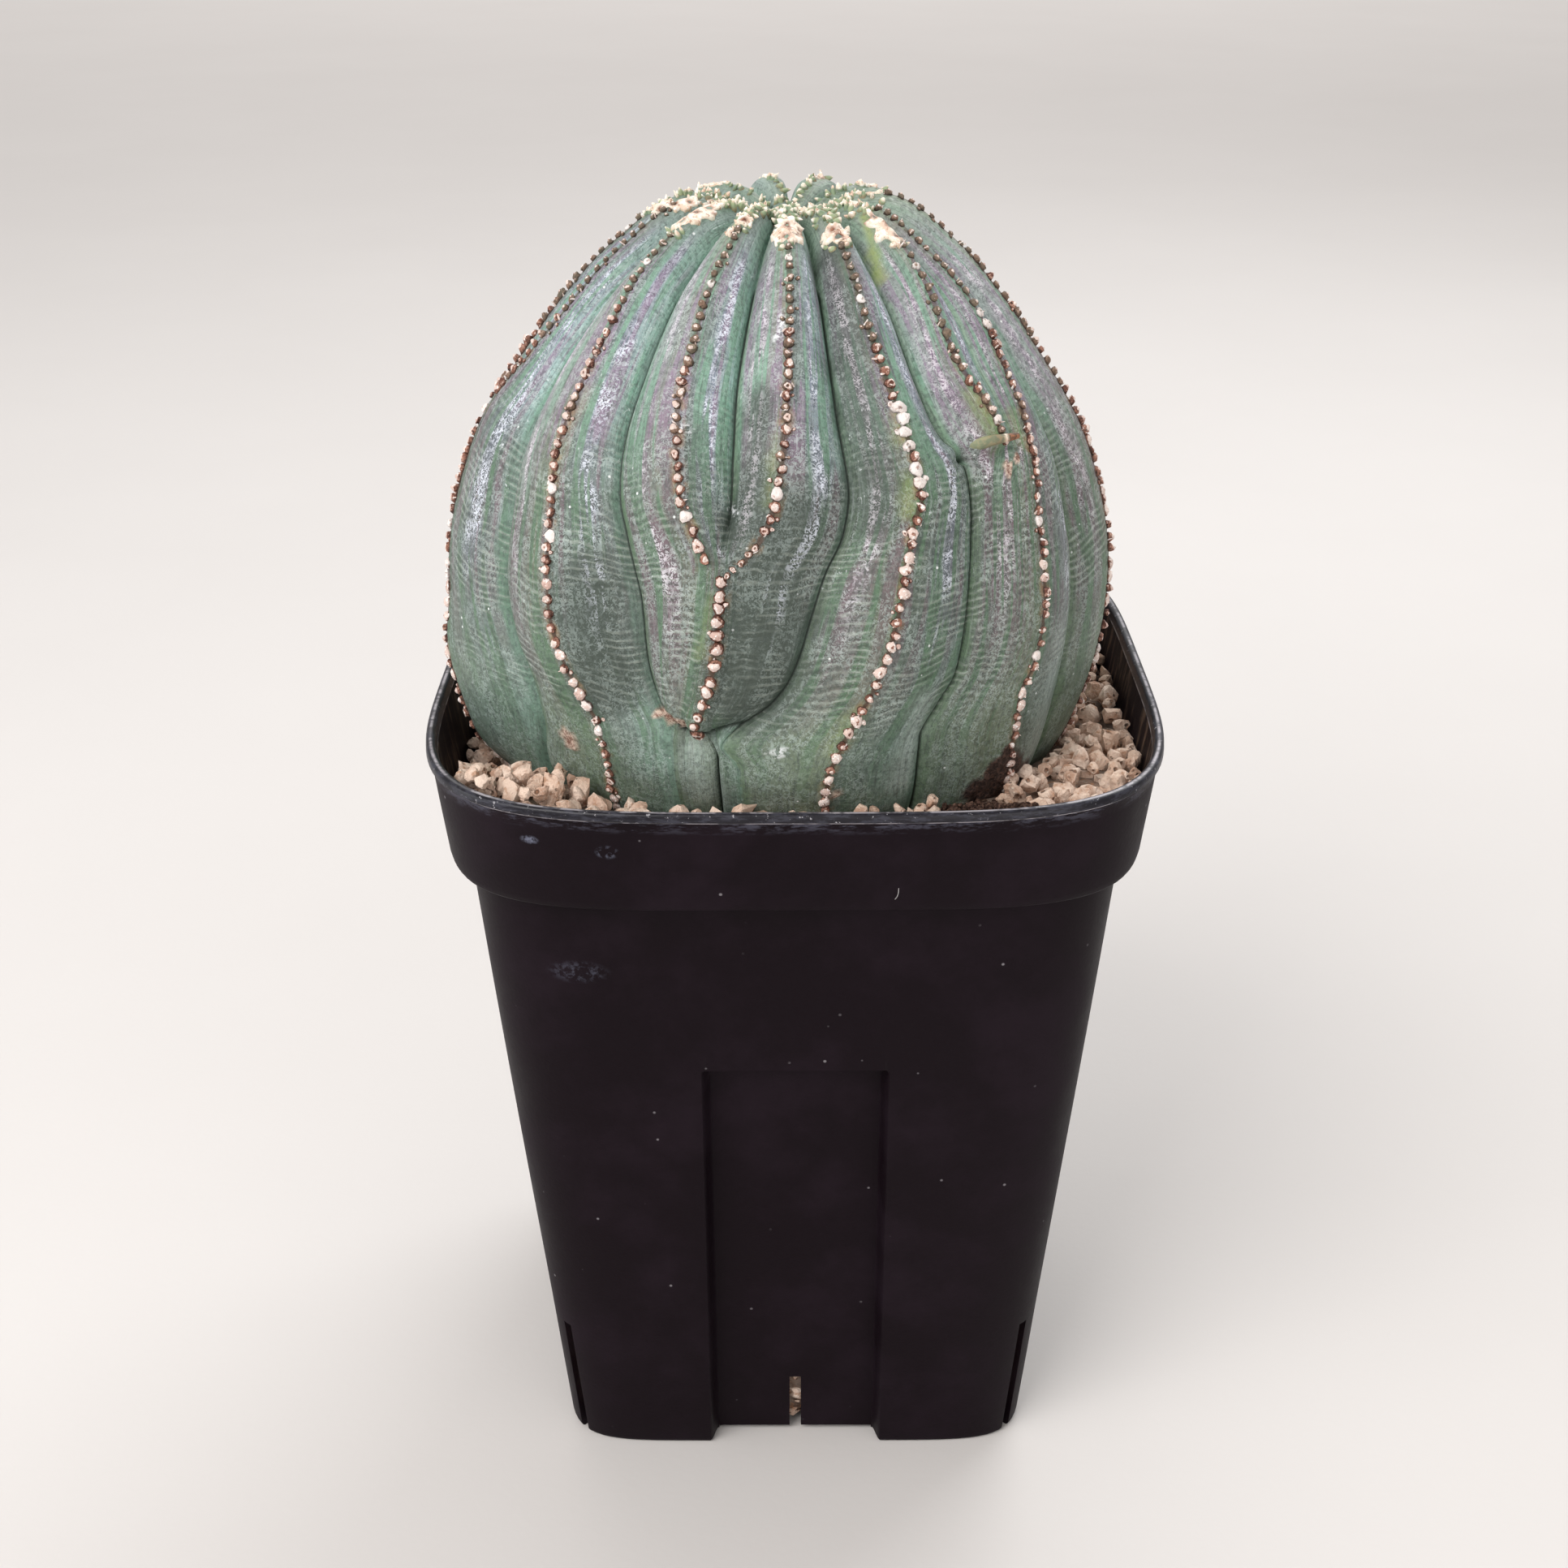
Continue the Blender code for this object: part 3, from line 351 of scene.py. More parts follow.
# Darker and paler parts of the skin: path, half width, strength. The paler patch on the bulb of
# rib_k, at the back near the crown, is painted light on its lit top.
SHADES = [
    ([(-170, 6), (-170, 15)], 6.0, 0.35), ([(0, 64), (-2, 78), (-4.5, 90)], 11.0, -1.0),
    ([(-32, 75), (-29, 92)], 9.0, -0.9), ([(-4.5, 44), (-5.0, 63)], 4.5, -0.7),
    ([(15.5, 22), (16, 38), (17, 62)], 6.5, -0.6), ([(-18, 50), (-16, 66)], 4.5, -0.4),
    ([(-32, 23), (-31, 38)], 5.0, 0.4), ([(-57, 34), (-55, 62)], 7.0, 0.45),
    ([(80, 30), (78, 62)], 9.0, 0.3), ([(55, 92), (53, 112)], 8.0, 0.5),
    ([(24, 94), (21, 110)], 4.5, 0.6), ([(-14, 102), (-12, 110)], 5.0, 0.5),
    ([(30, 24), (29, 34)], 3.5, 0.3), ([(8, 24), (8, 34)], 3.5, 0.4),
]
# White scuffs: path and half width.
SCUFFS = [
    ([(-0.9, 31.8), (-1.2, 35.0)], 0.5), ([(-18.8, 48.8), (-16.7, 49.8)], 0.4),
    ([(-0.6, 100.1), (0.3, 100.6)], 0.45), ([(-9.0, 60.2), (-7.8, 61.2)], 0.3),
]
# Corky places: path, half width.
CORK = [
    ([(-38.4, 103.6), (-38.0, 105)], 1.3), ([(-20.5, 95.8), (-16.0, 97.2)], 0.55),
    ([(10.2, 109.1), (10.2, 109.5)], 0.5), ([(46.1, 58.5), (45.4, 60.2)], 0.45),
    ([(49.2, 57.2), (48.8, 58.0)], 0.3),
]


def rib_sectors(polar, azimuth):
    """Sector of each point, the azimuths and levels of its two lines, and the azimuth in their range."""
    turn, level = line_tables(polar)
    azimuth = np.mod(azimuth - turn[0], 360.0) + turn[0]
    sector = np.clip((turn <= azimuth + 1e-9).sum(axis=0) - 1, 0, len(RIB_LINES) - 1)
    pick = np.arange(polar.size)
    return (azimuth, sector, turn[sector, pick], turn[sector + 1, pick], level[sector, pick],
            level[sector + 1, pick])


def skin_face(polar, azimuth):
    """Share from furrow to crest and side of the crest, with forked ribs taken as one lower down."""
    azimuth, _, turn0, turn1, level0, level1 = rib_sectors(polar, azimuth)
    share = np.clip((azimuth - turn0) / (turn1 - turn0), 0.0, 1.0)
    face = np.where(level0 <= level1, share, 1.0 - share)
    side = np.where(level0 <= level1, 1.0, -1.0)
    for foot, top, end, start, stop in MERGES:
        a, b, c = (line_azimuth(name, polar) for name in (foot, top, end))
        weight = smooth((polar - start) / (stop - start)) * (azimuth >= a) * (azimuth < c)
        climbs = azimuth < b
        face += weight * (np.where(climbs, (azimuth - a) / (b - a), (c - azimuth) / (c - b)) - face)
        side += weight * (np.where(climbs, 1.0, -1.0) - side)
    return face, side


def add_marks(state, relief, azimuth, arc, place):
    """Creases, swellings, stains and crusts, as values in the state and as changes to the relief."""
    def away_from(path):
        return path_distance(azimuth, arc, path)

    def patches(paths, ragged, seed):
        found = np.zeros_like(azimuth)
        for path, half in paths:
            away = away_from(path) + ragged * noise_at(*place, 1.6, seed)
            found = np.maximum(found, smooth((half - away) / (0.35 * half) + 0.5))
        return found

    state["crease"] = np.zeros_like(azimuth)
    for path, deep, half in CREASES:
        mark = np.exp(-(away_from(path) / half) ** 2)
        relief -= deep * mark
        state["crease"] = np.maximum(state["crease"], mark * min(1.0, deep / 0.6))
    for path, tall, half in SWELLS:
        relief += tall * np.exp(-(away_from(path) / half) ** 2)
    state["yellow"] = np.zeros_like(azimuth)
    for path, half, strength in YELLOW:
        away = away_from(path) + 0.4 * noise_at(*place, 1.8, 8)
        state["yellow"] = np.maximum(state["yellow"], strength * smooth(1.0 - away / half))
    shade = np.zeros_like(azimuth)
    for path, half, strength in SHADES:
        away = away_from(path) + 0.8 * noise_at(*place, 3.0, 12)
        shade += strength * smooth(1.0 - away / half)
    state["shade"] = np.clip(shade, -1.0, 1.0)
    state["mud"] = patches(MUD, 0.9, 7)
    state["cork"] = patches(CORK, 0.5, 9)
    state["scuffed"] = patches(SCUFFS, 0.8, 13)
    relief += 0.35 * state["mud"] * (0.6 + 0.6 * noise_at(*place, 0.9, 10))
    relief += 0.18 * state["cork"] * (0.6 + 0.6 * noise_at(*place, 0.7, 11))


def skin_at(polar, azimuth):
    """Everything known about the skin at arrays of polar angles and azimuths."""
    azimuth, sector, turn0, turn1, level0, level1 = rib_sectors(polar, azimuth)
    share = np.clip((azimuth - turn0) / (turn1 - turn0), 0.0, 1.0)
    rising = level0 <= level1
    face = np.where(rising, share, 1.0 - share)
    low, high = np.minimum(level0, level1), np.maximum(level0, level1)
    beside = np.abs(np.mod(azimuth + 180.0, 360.0) - 180.0)
    lobe = smooth((beside - 130.0) / 20.0) * smooth((20.0 - polar) / 8.0)
    swell = 1.0 - (1.0 - face) ** (FACE_ROUNDNESS + LOBE_ROUNDNESS * lobe)
    height = low + (high - low) * ((1.0 - CREST_PEAK) * swell + CREST_PEAK * face ** 4)
    flank = smooth((beside - 40.0) / 35.0) * smooth((polar - 12.0) / 14.0) * smooth((66.0 - polar) / 22.0)
    crest = curve(CREST_RADIUS, polar) - FLANK_DROP * flank
    depth = curve(FURROW_DEPTH, polar)
    reach = crest * np.sin(np.radians(polar))
    width = np.radians(turn1 - turn0) * reach
    state = {
        "polar": polar, "face": face,
        "furrow_mm": face * width, "crest_mm": (1.0 - face) * width,
        "furrow": smooth((0.7 - low) / 0.45) * smooth((high - low - 0.05) / 0.2),
        "crest": smooth((high - 0.93) / 0.05), "rising": rising,
    }
    arc = np.interp(polar, ARC_POLAR, ARC_LENGTH)
    across = np.radians(azimuth) * reach
    base = place_on_plant(polar, azimuth, crest - depth * (1.0 - height))
    x, y, z = base.T
    lower = smooth((polar - 45.0) / 40.0)
    broad = smooth((polar - 8.0) / 25.0) * smooth((140.0 - polar) / 20.0)
    relief = 0.30 * noise_at(x, y, z, 13.0, 1) + 0.12 * noise_at(x, y, z, 5.0, 2)
    relief = relief * broad * (0.4 + 0.6 * (1.0 - face))
    wave = arc + 0.9 * noise_at(x, y, z, 7.0, 3) + 0.25 * np.where(rising, 1.0, -1.0) * face
    state["wave"] = wave
    tint_face, _ = skin_face(polar, azimuth)
    # The furrow between rib_f and rib_g fades out where the two run together.
    inner = (sector == LINE_NAMES.index("rib_f")) | (sector == LINE_NAMES.index("furrow_fg"))
    state["furrow"] = state["furrow"] * (1.0 - inner * smooth((polar - 54.0) / 4.0))
    patch = smooth(0.15 + 2.0 * noise_at(across, wave * 2.0, 0.0, 9.0, 4))
    bands = patch * np.sin(wave * 2.0 * math.pi / BAND_SPACING) * smooth((106.0 - polar) / 12.0)
    relief += bands * (0.012 + 0.035 * lower) * smooth((state["furrow_mm"] - 0.3) / 1.5) * broad
    relief += 0.03 * noise_at(across * 9.0, arc, 0.0, 7.0, 6) * broad
    relief += 0.035 * noise_at(x, y, z, 1.1, 5) * broad
    for at_face, tall in FOLDS:
        relief -= tall * np.exp(-((tint_face - at_face) / 0.045) ** 2) * smooth((polar - 40.0) / 25.0) * broad
    groove = np.exp(-(state["furrow_mm"] / 0.26) ** 2) * state["furrow"]
    lip = np.exp(-((state["furrow_mm"] - 1.3) / 0.7) ** 2) * state["furrow"]
    relief += -0.42 * groove * broad + 0.10 * lip * broad
    add_marks(state, relief, azimuth, arc, (x, y, z))
    state["point"] = place_on_plant(polar, azimuth, crest - depth * (1.0 - height) + relief)
    return state


def frames_on_skin(polar, azimuth):
    """Point, outward normal and downward direction of the skin at arrays of positions."""
    step = 0.35
    here = skin_at(polar, azimuth)["point"]
    below = skin_at(polar + step, azimuth)["point"]
    aside = step / np.maximum(0.05, np.sin(np.radians(polar)))
    east = skin_at(polar, azimuth + aside)["point"]
    west = skin_at(polar, azimuth - aside)["point"]
    down = below - here
    down /= np.linalg.norm(down, axis=1)[:, None]
    outward = np.cross(down, east - west)
    outward /= np.linalg.norm(outward, axis=1)[:, None]
    return here, outward, down


# ---------------------------------------------------------------- meshes

def make_mesh(name, points, faces, material, values=None, smooth_angle=None, corners=None):
    """A piece from points in millimetres, with float or vector values at its points or face corners."""
    mesh = bpy.data.meshes.new(name)
    mesh.from_pydata((np.asarray(points) * MM).tolist(), [], faces)
    for domain, named in (("POINT", values or {}), ("CORNER", corners or {})):
        for key, data in named.items():
            data = np.asarray(data, np.float32)
            kind = "FLOAT_VECTOR" if data.ndim == 2 else "FLOAT"
            attribute = mesh.attributes.new(key, kind, domain)
            attribute.data.foreach_set("vector" if data.ndim == 2 else "value", data.ravel())
    mesh.update()
    mesh.validate()
    mesh.shade_smooth()
    if smooth_angle is not None:
        mesh.set_sharp_from_angle(angle=math.radians(smooth_angle))
    item = bpy.data.objects.new(name, mesh)
    bpy.context.scene.collection.objects.link(item)
    if material:
        mesh.materials.append(material)
    return item


class Heap:
    """Many small shapes gathered into one mesh."""

    def __init__(self):
        self.points, self.faces, self.values, self.count = [], [], {}, 0

    def add(self, points, faces, **values):
        self.points.append(points)
        self.faces += [tuple(i + self.count for i in face) for face in faces]
        for key, data in values.items():
            self.values.setdefault(key, []).append(np.broadcast_to(data, (len(points),)))
        self.count += len(points)

    def build(self, name, material, smooth_angle=None):
        values = {key: np.concatenate(data) for key, data in self.values.items()}
        return make_mesh(name, np.concatenate(self.points), self.faces, material, values, smooth_angle)


def ring_faces(rings, count, first=0):
    """Quads between rings of points laid one after another."""
    faces = []
    for a in range(first, first + (rings - 1) * count, count):
        b = a + count
        faces += [(a + i, a + (i + 1) % count, b + (i + 1) % count, b + i) for i in range(count)]
    return faces


def capped_faces(rings, count):
    """Quads between rings, with the first and last rings closed."""
    last = (rings - 1) * count
    return ring_faces(rings, count) + [tuple(reversed(range(count))), tuple(range(last, last + count))]


def cone_faces(rings, sides):
    """Quads between rings, with a fan from the last ring to one tip."""
    first = (rings - 1) * sides
    fan = [(first + i, first + (i + 1) % sides, first + sides) for i in range(sides)]
    return ring_faces(rings, sides) + fan


def unit(vector):
    return vector / np.linalg.norm(vector)


def stand(shape, foot, axis, down):
    """A small shape moved to its foot and turned so that it rises along the axis."""
    axis = unit(axis)
    u = unit(np.cross(axis, down))
    v = np.cross(axis, u)
    return foot + shape[:, :1] * u + shape[:, 1:2] * v + shape[:, 2:] * axis


# ---------------------------------------------------------------- node materials

class Shader:
    """A short way to write a node tree, and the colour that it covers layer by layer."""

    def __init__(self, name):
        self.material = bpy.data.materials.new(name)
        self.material.use_nodes = True
        self.tree = self.material.node_tree
        self.bsdf = self.tree.nodes["Principled BSDF"]
        self.colour = None

    def put(self, socket, value):
        if isinstance(value, bpy.types.NodeSocket):
            self.tree.links.new(value, socket)
        elif isinstance(value, tuple) and socket.type == "RGBA":
            socket.default_value = (*value, 1.0)
        else:
            socket.default_value = value

    def node(self, kind, inputs, output, **settings):
        node = self.tree.nodes.new("ShaderNode" + kind)
        for key, value in settings.items():
            setattr(node, key, value)
        for key, value in inputs.items():
            self.put(node.inputs[key], value)
        return node.outputs[output]

    def attribute(self, name, kind="Fac"):
        return self.node("Attribute", {}, kind, attribute_name=name)

    def place(self):
        return self.node("TexCoord", {}, "Object")

    def part(self, vector, axis):
        return self.node("SeparateXYZ", {0: vector}, axis)

    def noise(self, vector, scale, detail=2.0, rough=0.5, distort=0.0):
        inputs = {"Vector": vector, "Scale": scale, "Detail": detail, "Roughness": rough}
        return self.node("TexNoise", {**inputs, "Distortion": distort}, "Fac")

    def long_noise(self, vector, scale, *settings):
        """Noise with its own scale along each axis."""
        stretched = self.node("Mapping", {"Vector": vector, "Scale": scale}, "Vector")
        return self.noise(stretched, 1.0, *settings)

    def cells(self, vector, scale):
        return self.node("TexVoronoi", {"Vector": vector, "Scale": scale}, "Distance")

    def math(self, kind, a, b=0.0, clamp=False):
        return self.node("Math", {0: a, 1: b}, 0, operation=kind, use_clamp=clamp)

    def plus(self, a, b):
        return self.math("ADD", a, b)

    def minus(self, a, b):
        return self.math("SUBTRACT", a, b)

    def most(self, a, b):
        return self.math("MAXIMUM", a, b)

    def times(self, *factors):
        result = factors[0]
        for factor in factors[1:]:
            result = self.math("MULTIPLY", result, factor)
        return result

    def ramp(self, value, start, end, low=0.0, high=1.0):
        inputs = {"Value": value, "From Min": start, "From Max": end, "To Min": low, "To Max": high}
        return self.node("MapRange", inputs, "Result", interpolation_type="SMOOTHSTEP", clamp=True)

    def bell(self, value, centre, half):
        """1 at a centre, falling smoothly to 0 at half away on both sides."""
        return self.ramp(self.math("ABSOLUTE", self.minus(value, centre)), half, 0.0)

    def mix(self, factor, a, b):
        return self.node("Mix", {"Factor": factor, 6: a, 7: b}, 2, data_type="RGBA")

    def cover(self, tint, *shares):
        """Lay a tint over the colour so far, by a share or a product of shares."""
        self.colour = self.mix(self.times(*shares), self.colour, tint)

    def bump(self, height, distance, strength=1.0):
        return self.node("Bump", {"Height": height, "Distance": distance, "Strength": strength}, "Normal")

    def finish(self, roughness, normal=None, specular=0.5):
        self.put(self.bsdf.inputs["Base Color"], self.colour)
        self.put(self.bsdf.inputs["Roughness"], roughness)
        self.bsdf.inputs["Specular IOR Level"].default_value = specular
        if normal is not None:
            self.put(self.bsdf.inputs["Normal"], normal)
        return self.material


def skin_fields(s):
    """The values on the mesh and the noises that the layers of the skin share."""
    f = SimpleNamespace(at=s.place(), strip=s.attribute("strip", "Vector"))
    for name in ("polar", "right", "furrow_near", "crest_near", "crease", "shade"):
        setattr(f, name, s.attribute(name))
    f.left = s.minus(1.0, f.right)
    f.medium = s.noise(f.at, 330.0, 3.0, 0.6)
    f.mottle = s.noise(f.at, 1450.0, 2.0, 0.6)
    f.streak = s.long_noise(f.strip, (2.6, 0.10, 1.0), 3.0, 0.6)
    f.wander = s.long_noise(f.strip, (0.5, 0.16, 1.0), 2.0, 0.5)
    f.vein = s.long_noise(f.strip, (0.62, 0.030, 1.0), 2.0, 0.55)
    f.face = s.plus(s.attribute("face"), s.times(s.minus(f.wander, 0.5), 0.24))
    f.lower = s.ramp(f.polar, 40.0, 64.0)
    f.keep = s.ramp(f.polar, 106.0, 66.0, 0.06, 1.0)
    f.dark = s.ramp(f.shade, 0.0, -0.9)
    return f


def skin_ground(s, f):
    """Green ground, by height on the plant, side of the rib and place from crest to furrow."""
    foot = s.ramp(f.polar, 82.0, 100.0)

    def level(top, middle, bottom):
        return s.mix(foot, s.mix(f.lower, top, middle), bottom)

    inward = s.ramp(f.face, 0.85, 0.08)
    # On the faces turned from the key light, the green next to the furrow is far paler than by the crest,
    # most near the crown: the skin's green band with painted light over the furrow's shade.
    left_face = s.mix(inward, level((0.125, 0.145, 0.150), (0.090, 0.116, 0.095), (0.120, 0.165, 0.130)),
                      level((0.400, 0.590, 0.560), (0.150, 0.205, 0.188), (0.185, 0.285, 0.230)))
    right_face = s.mix(inward, level((0.245, 0.245, 0.205), (0.138, 0.165, 0.108), (0.165, 0.210, 0.140)),
                       level((0.350, 0.470, 0.415), (0.106, 0.132, 0.110), (0.165, 0.215, 0.160)))
    s.colour = s.mix(f.right, left_face, right_face)
    cloud = s.ramp(s.noise(f.at, 90.0, 3.0, 0.6), 0.45, 0.68, 0.0, 0.5)
    s.cover(level((0.205, 0.275, 0.225), (0.105, 0.150, 0.088), (0.12, 0.18, 0.11)), cloud)
    s.cover((0.255, 0.375, 0.245), s.ramp(f.polar, 34.0, 14.0), 0.50)


def skin_strips(s, f):
    """Wide lavender and purple strips, narrow green and violet ones, margins, broad light and shade, and
    painted shade in the folds.
    """
    def strip(top, bottom, *shares):
        s.cover(s.mix(f.lower, top, bottom), *shares)

    shown = s.times(f.keep, s.ramp(f.polar, 14.0, 27.0, 0.15, 1.0))
    patchy = s.ramp(f.wander, 0.30, 0.55, 0.5, 1.0)
    f.lavender = s.times(s.bell(f.face, 0.44, 0.34), f.left, shown, patchy)
    f.purple = s.times(s.bell(f.face, 0.44, 0.40), f.right, shown, patchy)
    strip((0.240, 0.252, 0.345), (0.118, 0.130, 0.160), f.lavender, 0.85)
    strip((0.250, 0.195, 0.262), (0.165, 0.126, 0.152), f.purple, 0.85)
    s.cover((0.080, 0.056, 0.058), s.bell(f.face, 0.28, 0.20), s.ramp(f.streak, 0.42, 0.60),
            s.ramp(f.polar, 50.0, 72.0), f.keep, 0.8)
    veined = s.times(s.ramp(f.polar, 16.0, 30.0, 0.15, 1.0), s.ramp(f.polar, 108.0, 92.0, 0.25, 1.0))
    f.green = s.times(s.ramp(f.vein, 0.475, 0.425), veined)
    strip((0.200, 0.375, 0.265), (0.088, 0.172, 0.096), f.green, 0.85)
    strip((0.275, 0.190, 0.285), (0.152, 0.096, 0.120), s.ramp(f.vein, 0.525, 0.575), veined, f.keep, 0.80)
    f.margin = s.ramp(f.face, 0.15, 0.06)
    strip((0.32, 0.47, 0.34), (0.122, 0.190, 0.115), f.margin, f.right, 0.8)
    strip((0.23, 0.43, 0.335), (0.125, 0.220, 0.160), f.margin, f.left, 0.7)
    s.cover((0.050, 0.068, 0.054), f.dark)
    s.cover((0.40, 0.47, 0.44), s.ramp(f.shade, 0.0, 1.0))
    s.cover((0.050, 0.064, 0.056), s.ramp(f.streak, 0.50, 0.30, 0.0, 0.5))
    s.cover((0.38, 0.42, 0.42), s.ramp(f.streak, 0.55, 0.72), f.keep, 0.45)
    s.cover((0.050, 0.060, 0.050), s.bell(f.vein, 0.50, 0.016), s.ramp(f.polar, 28.0, 46.0),
            s.ramp(f.medium, 0.40, 0.52), 0.40)
    # Dark lines down the two folds of each face: painted shade in the folds.
    fold_shade = s.most(s.bell(s.attribute("face"), 0.24, 0.022), s.bell(s.attribute("face"), 0.46, 0.018))
    s.cover((0.06, 0.075, 0.06), fold_shade, s.ramp(f.polar, 42.0, 62.0), s.ramp(f.medium, 0.35, 0.55), 0.45)


def skin_growth_lines(s, f):
    """Light and dark lines across the faces, in patches."""
    phase = s.times(s.part(f.strip, 1), 2.0 * math.pi / LINE_SPACING)
    phase = s.plus(phase, s.times(s.long_noise(f.strip, (0.30, 0.22, 1.0), 2.0), 11.0))
    wave = s.math("SINE", phase)
    where = s.ramp(s.long_noise(f.strip, (0.30, 0.13, 1.0), 2.0), 0.42, 0.58, 0.06, 1.0)
    where = s.times(where, s.ramp(f.face, 0.98, 0.7, 0.35, 1.0), s.ramp(f.polar, 36.0, 74.0, 0.25, 1.0),
                    s.ramp(f.polar, 104.0, 92.0))
    f.band = s.times(s.ramp(wave, 0.1, 0.95), where, s.ramp(f.medium, 0.34, 0.54, 0.35, 1.0))
    s.cover((0.35, 0.39, 0.34), f.band, 0.60)
    s.cover((0.050, 0.062, 0.046), s.ramp(wave, -0.1, -1.0), where, 0.50)


def skin_wax(s, f):
    """Flecks of wax, crowded on the grey strips, with the dark skin between them, and pale scuffs that are
    partly painted glints.
    """
    field = s.noise(f.at, 1350.0, 2.0, 0.5, 1.3)
    f.worm = s.ramp(s.math("ABSOLUTE", s.minus(field, 0.5)), 0.062, 0.028)
    f.dots = s.ramp(s.noise(f.at, 1650.0, 2.0, 0.65), 0.53, 0.62)
    cluster = s.ramp(s.noise(f.at, 240.0, 2.0, 0.6), 0.34, 0.56, 0.30, 1.0)
    wax = s.math("ADD", f.lavender, s.times(f.purple, 0.85), clamp=True)
    wax = s.most(wax, s.times(s.ramp(f.polar, 52.0, 92.0, 0.50, 0.40), s.ramp(f.polar, 16.0, 30.0, 0.2, 1.0)))
    wax = s.times(wax, s.ramp(f.green, 0.0, 1.0, 1.0, 0.35), s.ramp(f.margin, 0.0, 1.0, 1.0, 0.3))
    marks = s.most(s.times(f.worm, s.ramp(f.medium, 0.30, 0.50)), s.times(f.dots, 0.85))
    pale = s.mix(f.right, (0.84, 0.88, 0.98), (0.84, 0.79, 0.85))
    s.cover((0.045, 0.060, 0.055), s.ramp(f.mottle, 0.54, 0.34, 0.0, 0.42))
    s.cover(s.mix(s.ramp(wax, 0.40, 0.85), (0.52, 0.62, 0.58), pale), marks, cluster, wax, 0.88)
    # Pale streaks, strongest on the upper half of the plant: partly scuffed wax and partly painted glints.
    scuff_and_glint = s.ramp(s.long_noise(f.strip, (1.3, 0.45, 1.0), 4.0, 0.75, 0.8), 0.63, 0.71)
    s.cover((0.76, 0.80, 0.82), scuff_and_glint, s.ramp(f.polar, 90.0, 50.0, 0.25, 1.0),
            s.ramp(f.mottle, 0.35, 0.52, 0.25, 1.0), 0.85)
    s.cover((0.82, 0.85, 0.84), s.ramp(s.cells(f.at, 420.0), 0.10, 0.05),
            s.ramp(s.noise(f.at, 160.0, 1.0), 0.50, 0.62))
    s.cover((0.045, 0.060, 0.048), f.dark, 0.45)
    s.cover((0.82, 0.84, 0.86), s.attribute("scuffed"), s.ramp(f.mottle, 0.42, 0.54), 0.85)


def skin_marks(s, f):
    """Yellow patches, the brown crest line that is partly painted shade, painted shade down the furrows and
    creases, cork and mud.
    """
    yellow = s.mix(s.ramp(f.medium, 0.35, 0.65), (0.22, 0.34, 0.08), (0.34, 0.40, 0.13))
    s.cover(yellow, s.attribute("yellow"), s.ramp(f.mottle, 0.30, 0.55, 0.55, 0.9))
    s.cover((0.33, 0.19, 0.085), s.ramp(f.crest_near, 1.5, 0.4), s.ramp(f.medium, 0.48, 0.66),
            s.ramp(f.polar, 34.0, 48.0, 0.2, 1.0), 0.65)
    # Dark brown line along the crests under the tubercle chains: partly crust and partly painted shade
    # between the tubercles.
    ragged = s.plus(f.crest_near, s.times(s.minus(f.mottle, 0.5), 0.9))
    s.cover((0.075, 0.042, 0.026), s.ramp(ragged, 0.55, 0.15), s.ramp(f.polar, 30.0, 60.0, 0.6, 0.9))
    # Near-black line down the bottom of each furrow, and darker creases: painted shade.
    s.cover((0.012, 0.024, 0.015), s.ramp(f.furrow_near, 0.25, 0.06), 0.93)
    s.cover((0.014, 0.026, 0.017), s.ramp(f.crease, 0.45, 0.98, 0.0, 0.9))
    f.grit = s.ramp(s.noise(f.at, 1700.0, 3.0, 0.75), 0.38, 0.62)
    s.cover(s.mix(f.grit, (0.20, 0.095, 0.065), (0.68, 0.53, 0.43)), s.attribute("cork"))
    s.cover(s.mix(f.grit, (0.020, 0.010, 0.008), (0.13, 0.072, 0.054)), s.attribute("mud"))


def skin_material():
    s = Shader("plant_skin_detailed")
    f = skin_fields(s)
    for layer in (skin_ground, skin_strips, skin_growth_lines, skin_wax, skin_marks):
        layer(s, f)
    height = s.plus(s.times(s.most(f.worm, f.dots), 0.35), s.times(f.band, 0.6))
    height = s.plus(height, s.times(f.streak, 1.3))
    height = s.plus(height, s.times(s.attribute("mud"), f.grit, 2.5))
    return s.finish(s.ramp(f.medium, 0.2, 0.8, 0.42, 0.60), s.bump(height, 0.00014, 0.8), 0.42)


def tubercle_material():
    s = Shader("tubercle_crust")
    at = s.place()
    cap, tone, white = (s.attribute(name) for name in ("cap", "tone", "white"))
    grain = s.noise(at, 2100.0, 3.0, 0.7)
    patch = s.noise(at, 1250.0, 2.0, 0.6)
    s.colour = s.mix(s.ramp(tone, 0.1, 0.9), (0.14, 0.048, 0.030), (0.34, 0.155, 0.105))
    # Pale pinkish flecks on the rusty body: painted highlights.
    s.cover((0.60, 0.38, 0.30), s.ramp(grain, 0.52, 0.66))
    s.cover((0.045, 0.018, 0.012), s.ramp(grain, 0.49, 0.35))
    s.cover(s.mix(grain, (0.080, 0.072, 0.050), (0.27, 0.245, 0.175)), s.attribute("olive"), 0.85)
    edge = s.plus(cap, s.times(s.minus(patch, 0.5), 2.0))
    cream = s.mix(tone, (0.60, 0.41, 0.35), (0.84, 0.70, 0.63))
    # White flecks on the cream caps: partly white crust and partly painted highlights.
    s.cover(s.mix(s.ramp(grain, 0.53, 0.64), cream, (0.98, 0.94, 0.90)), s.ramp(edge, 0.46, 0.62))
    chalk = s.times(white, s.ramp(s.plus(edge, white), 0.75, 1.1))
    s.cover((0.88, 0.83, 0.80), chalk, s.ramp(patch, 0.34, 0.46, 0.35, 1.0))
    s.cover((0.16, 0.05, 0.03), s.attribute("pit"))
    # Near-black foot of each tubercle where it meets the skin: painted shade.
    s.cover((0.020, 0.011, 0.008), s.attribute("low"))
    return s.finish(s.ramp(grain, 0.3, 0.7, 0.45, 0.8), s.bump(grain, 0.0003, 0.9), 0.35)


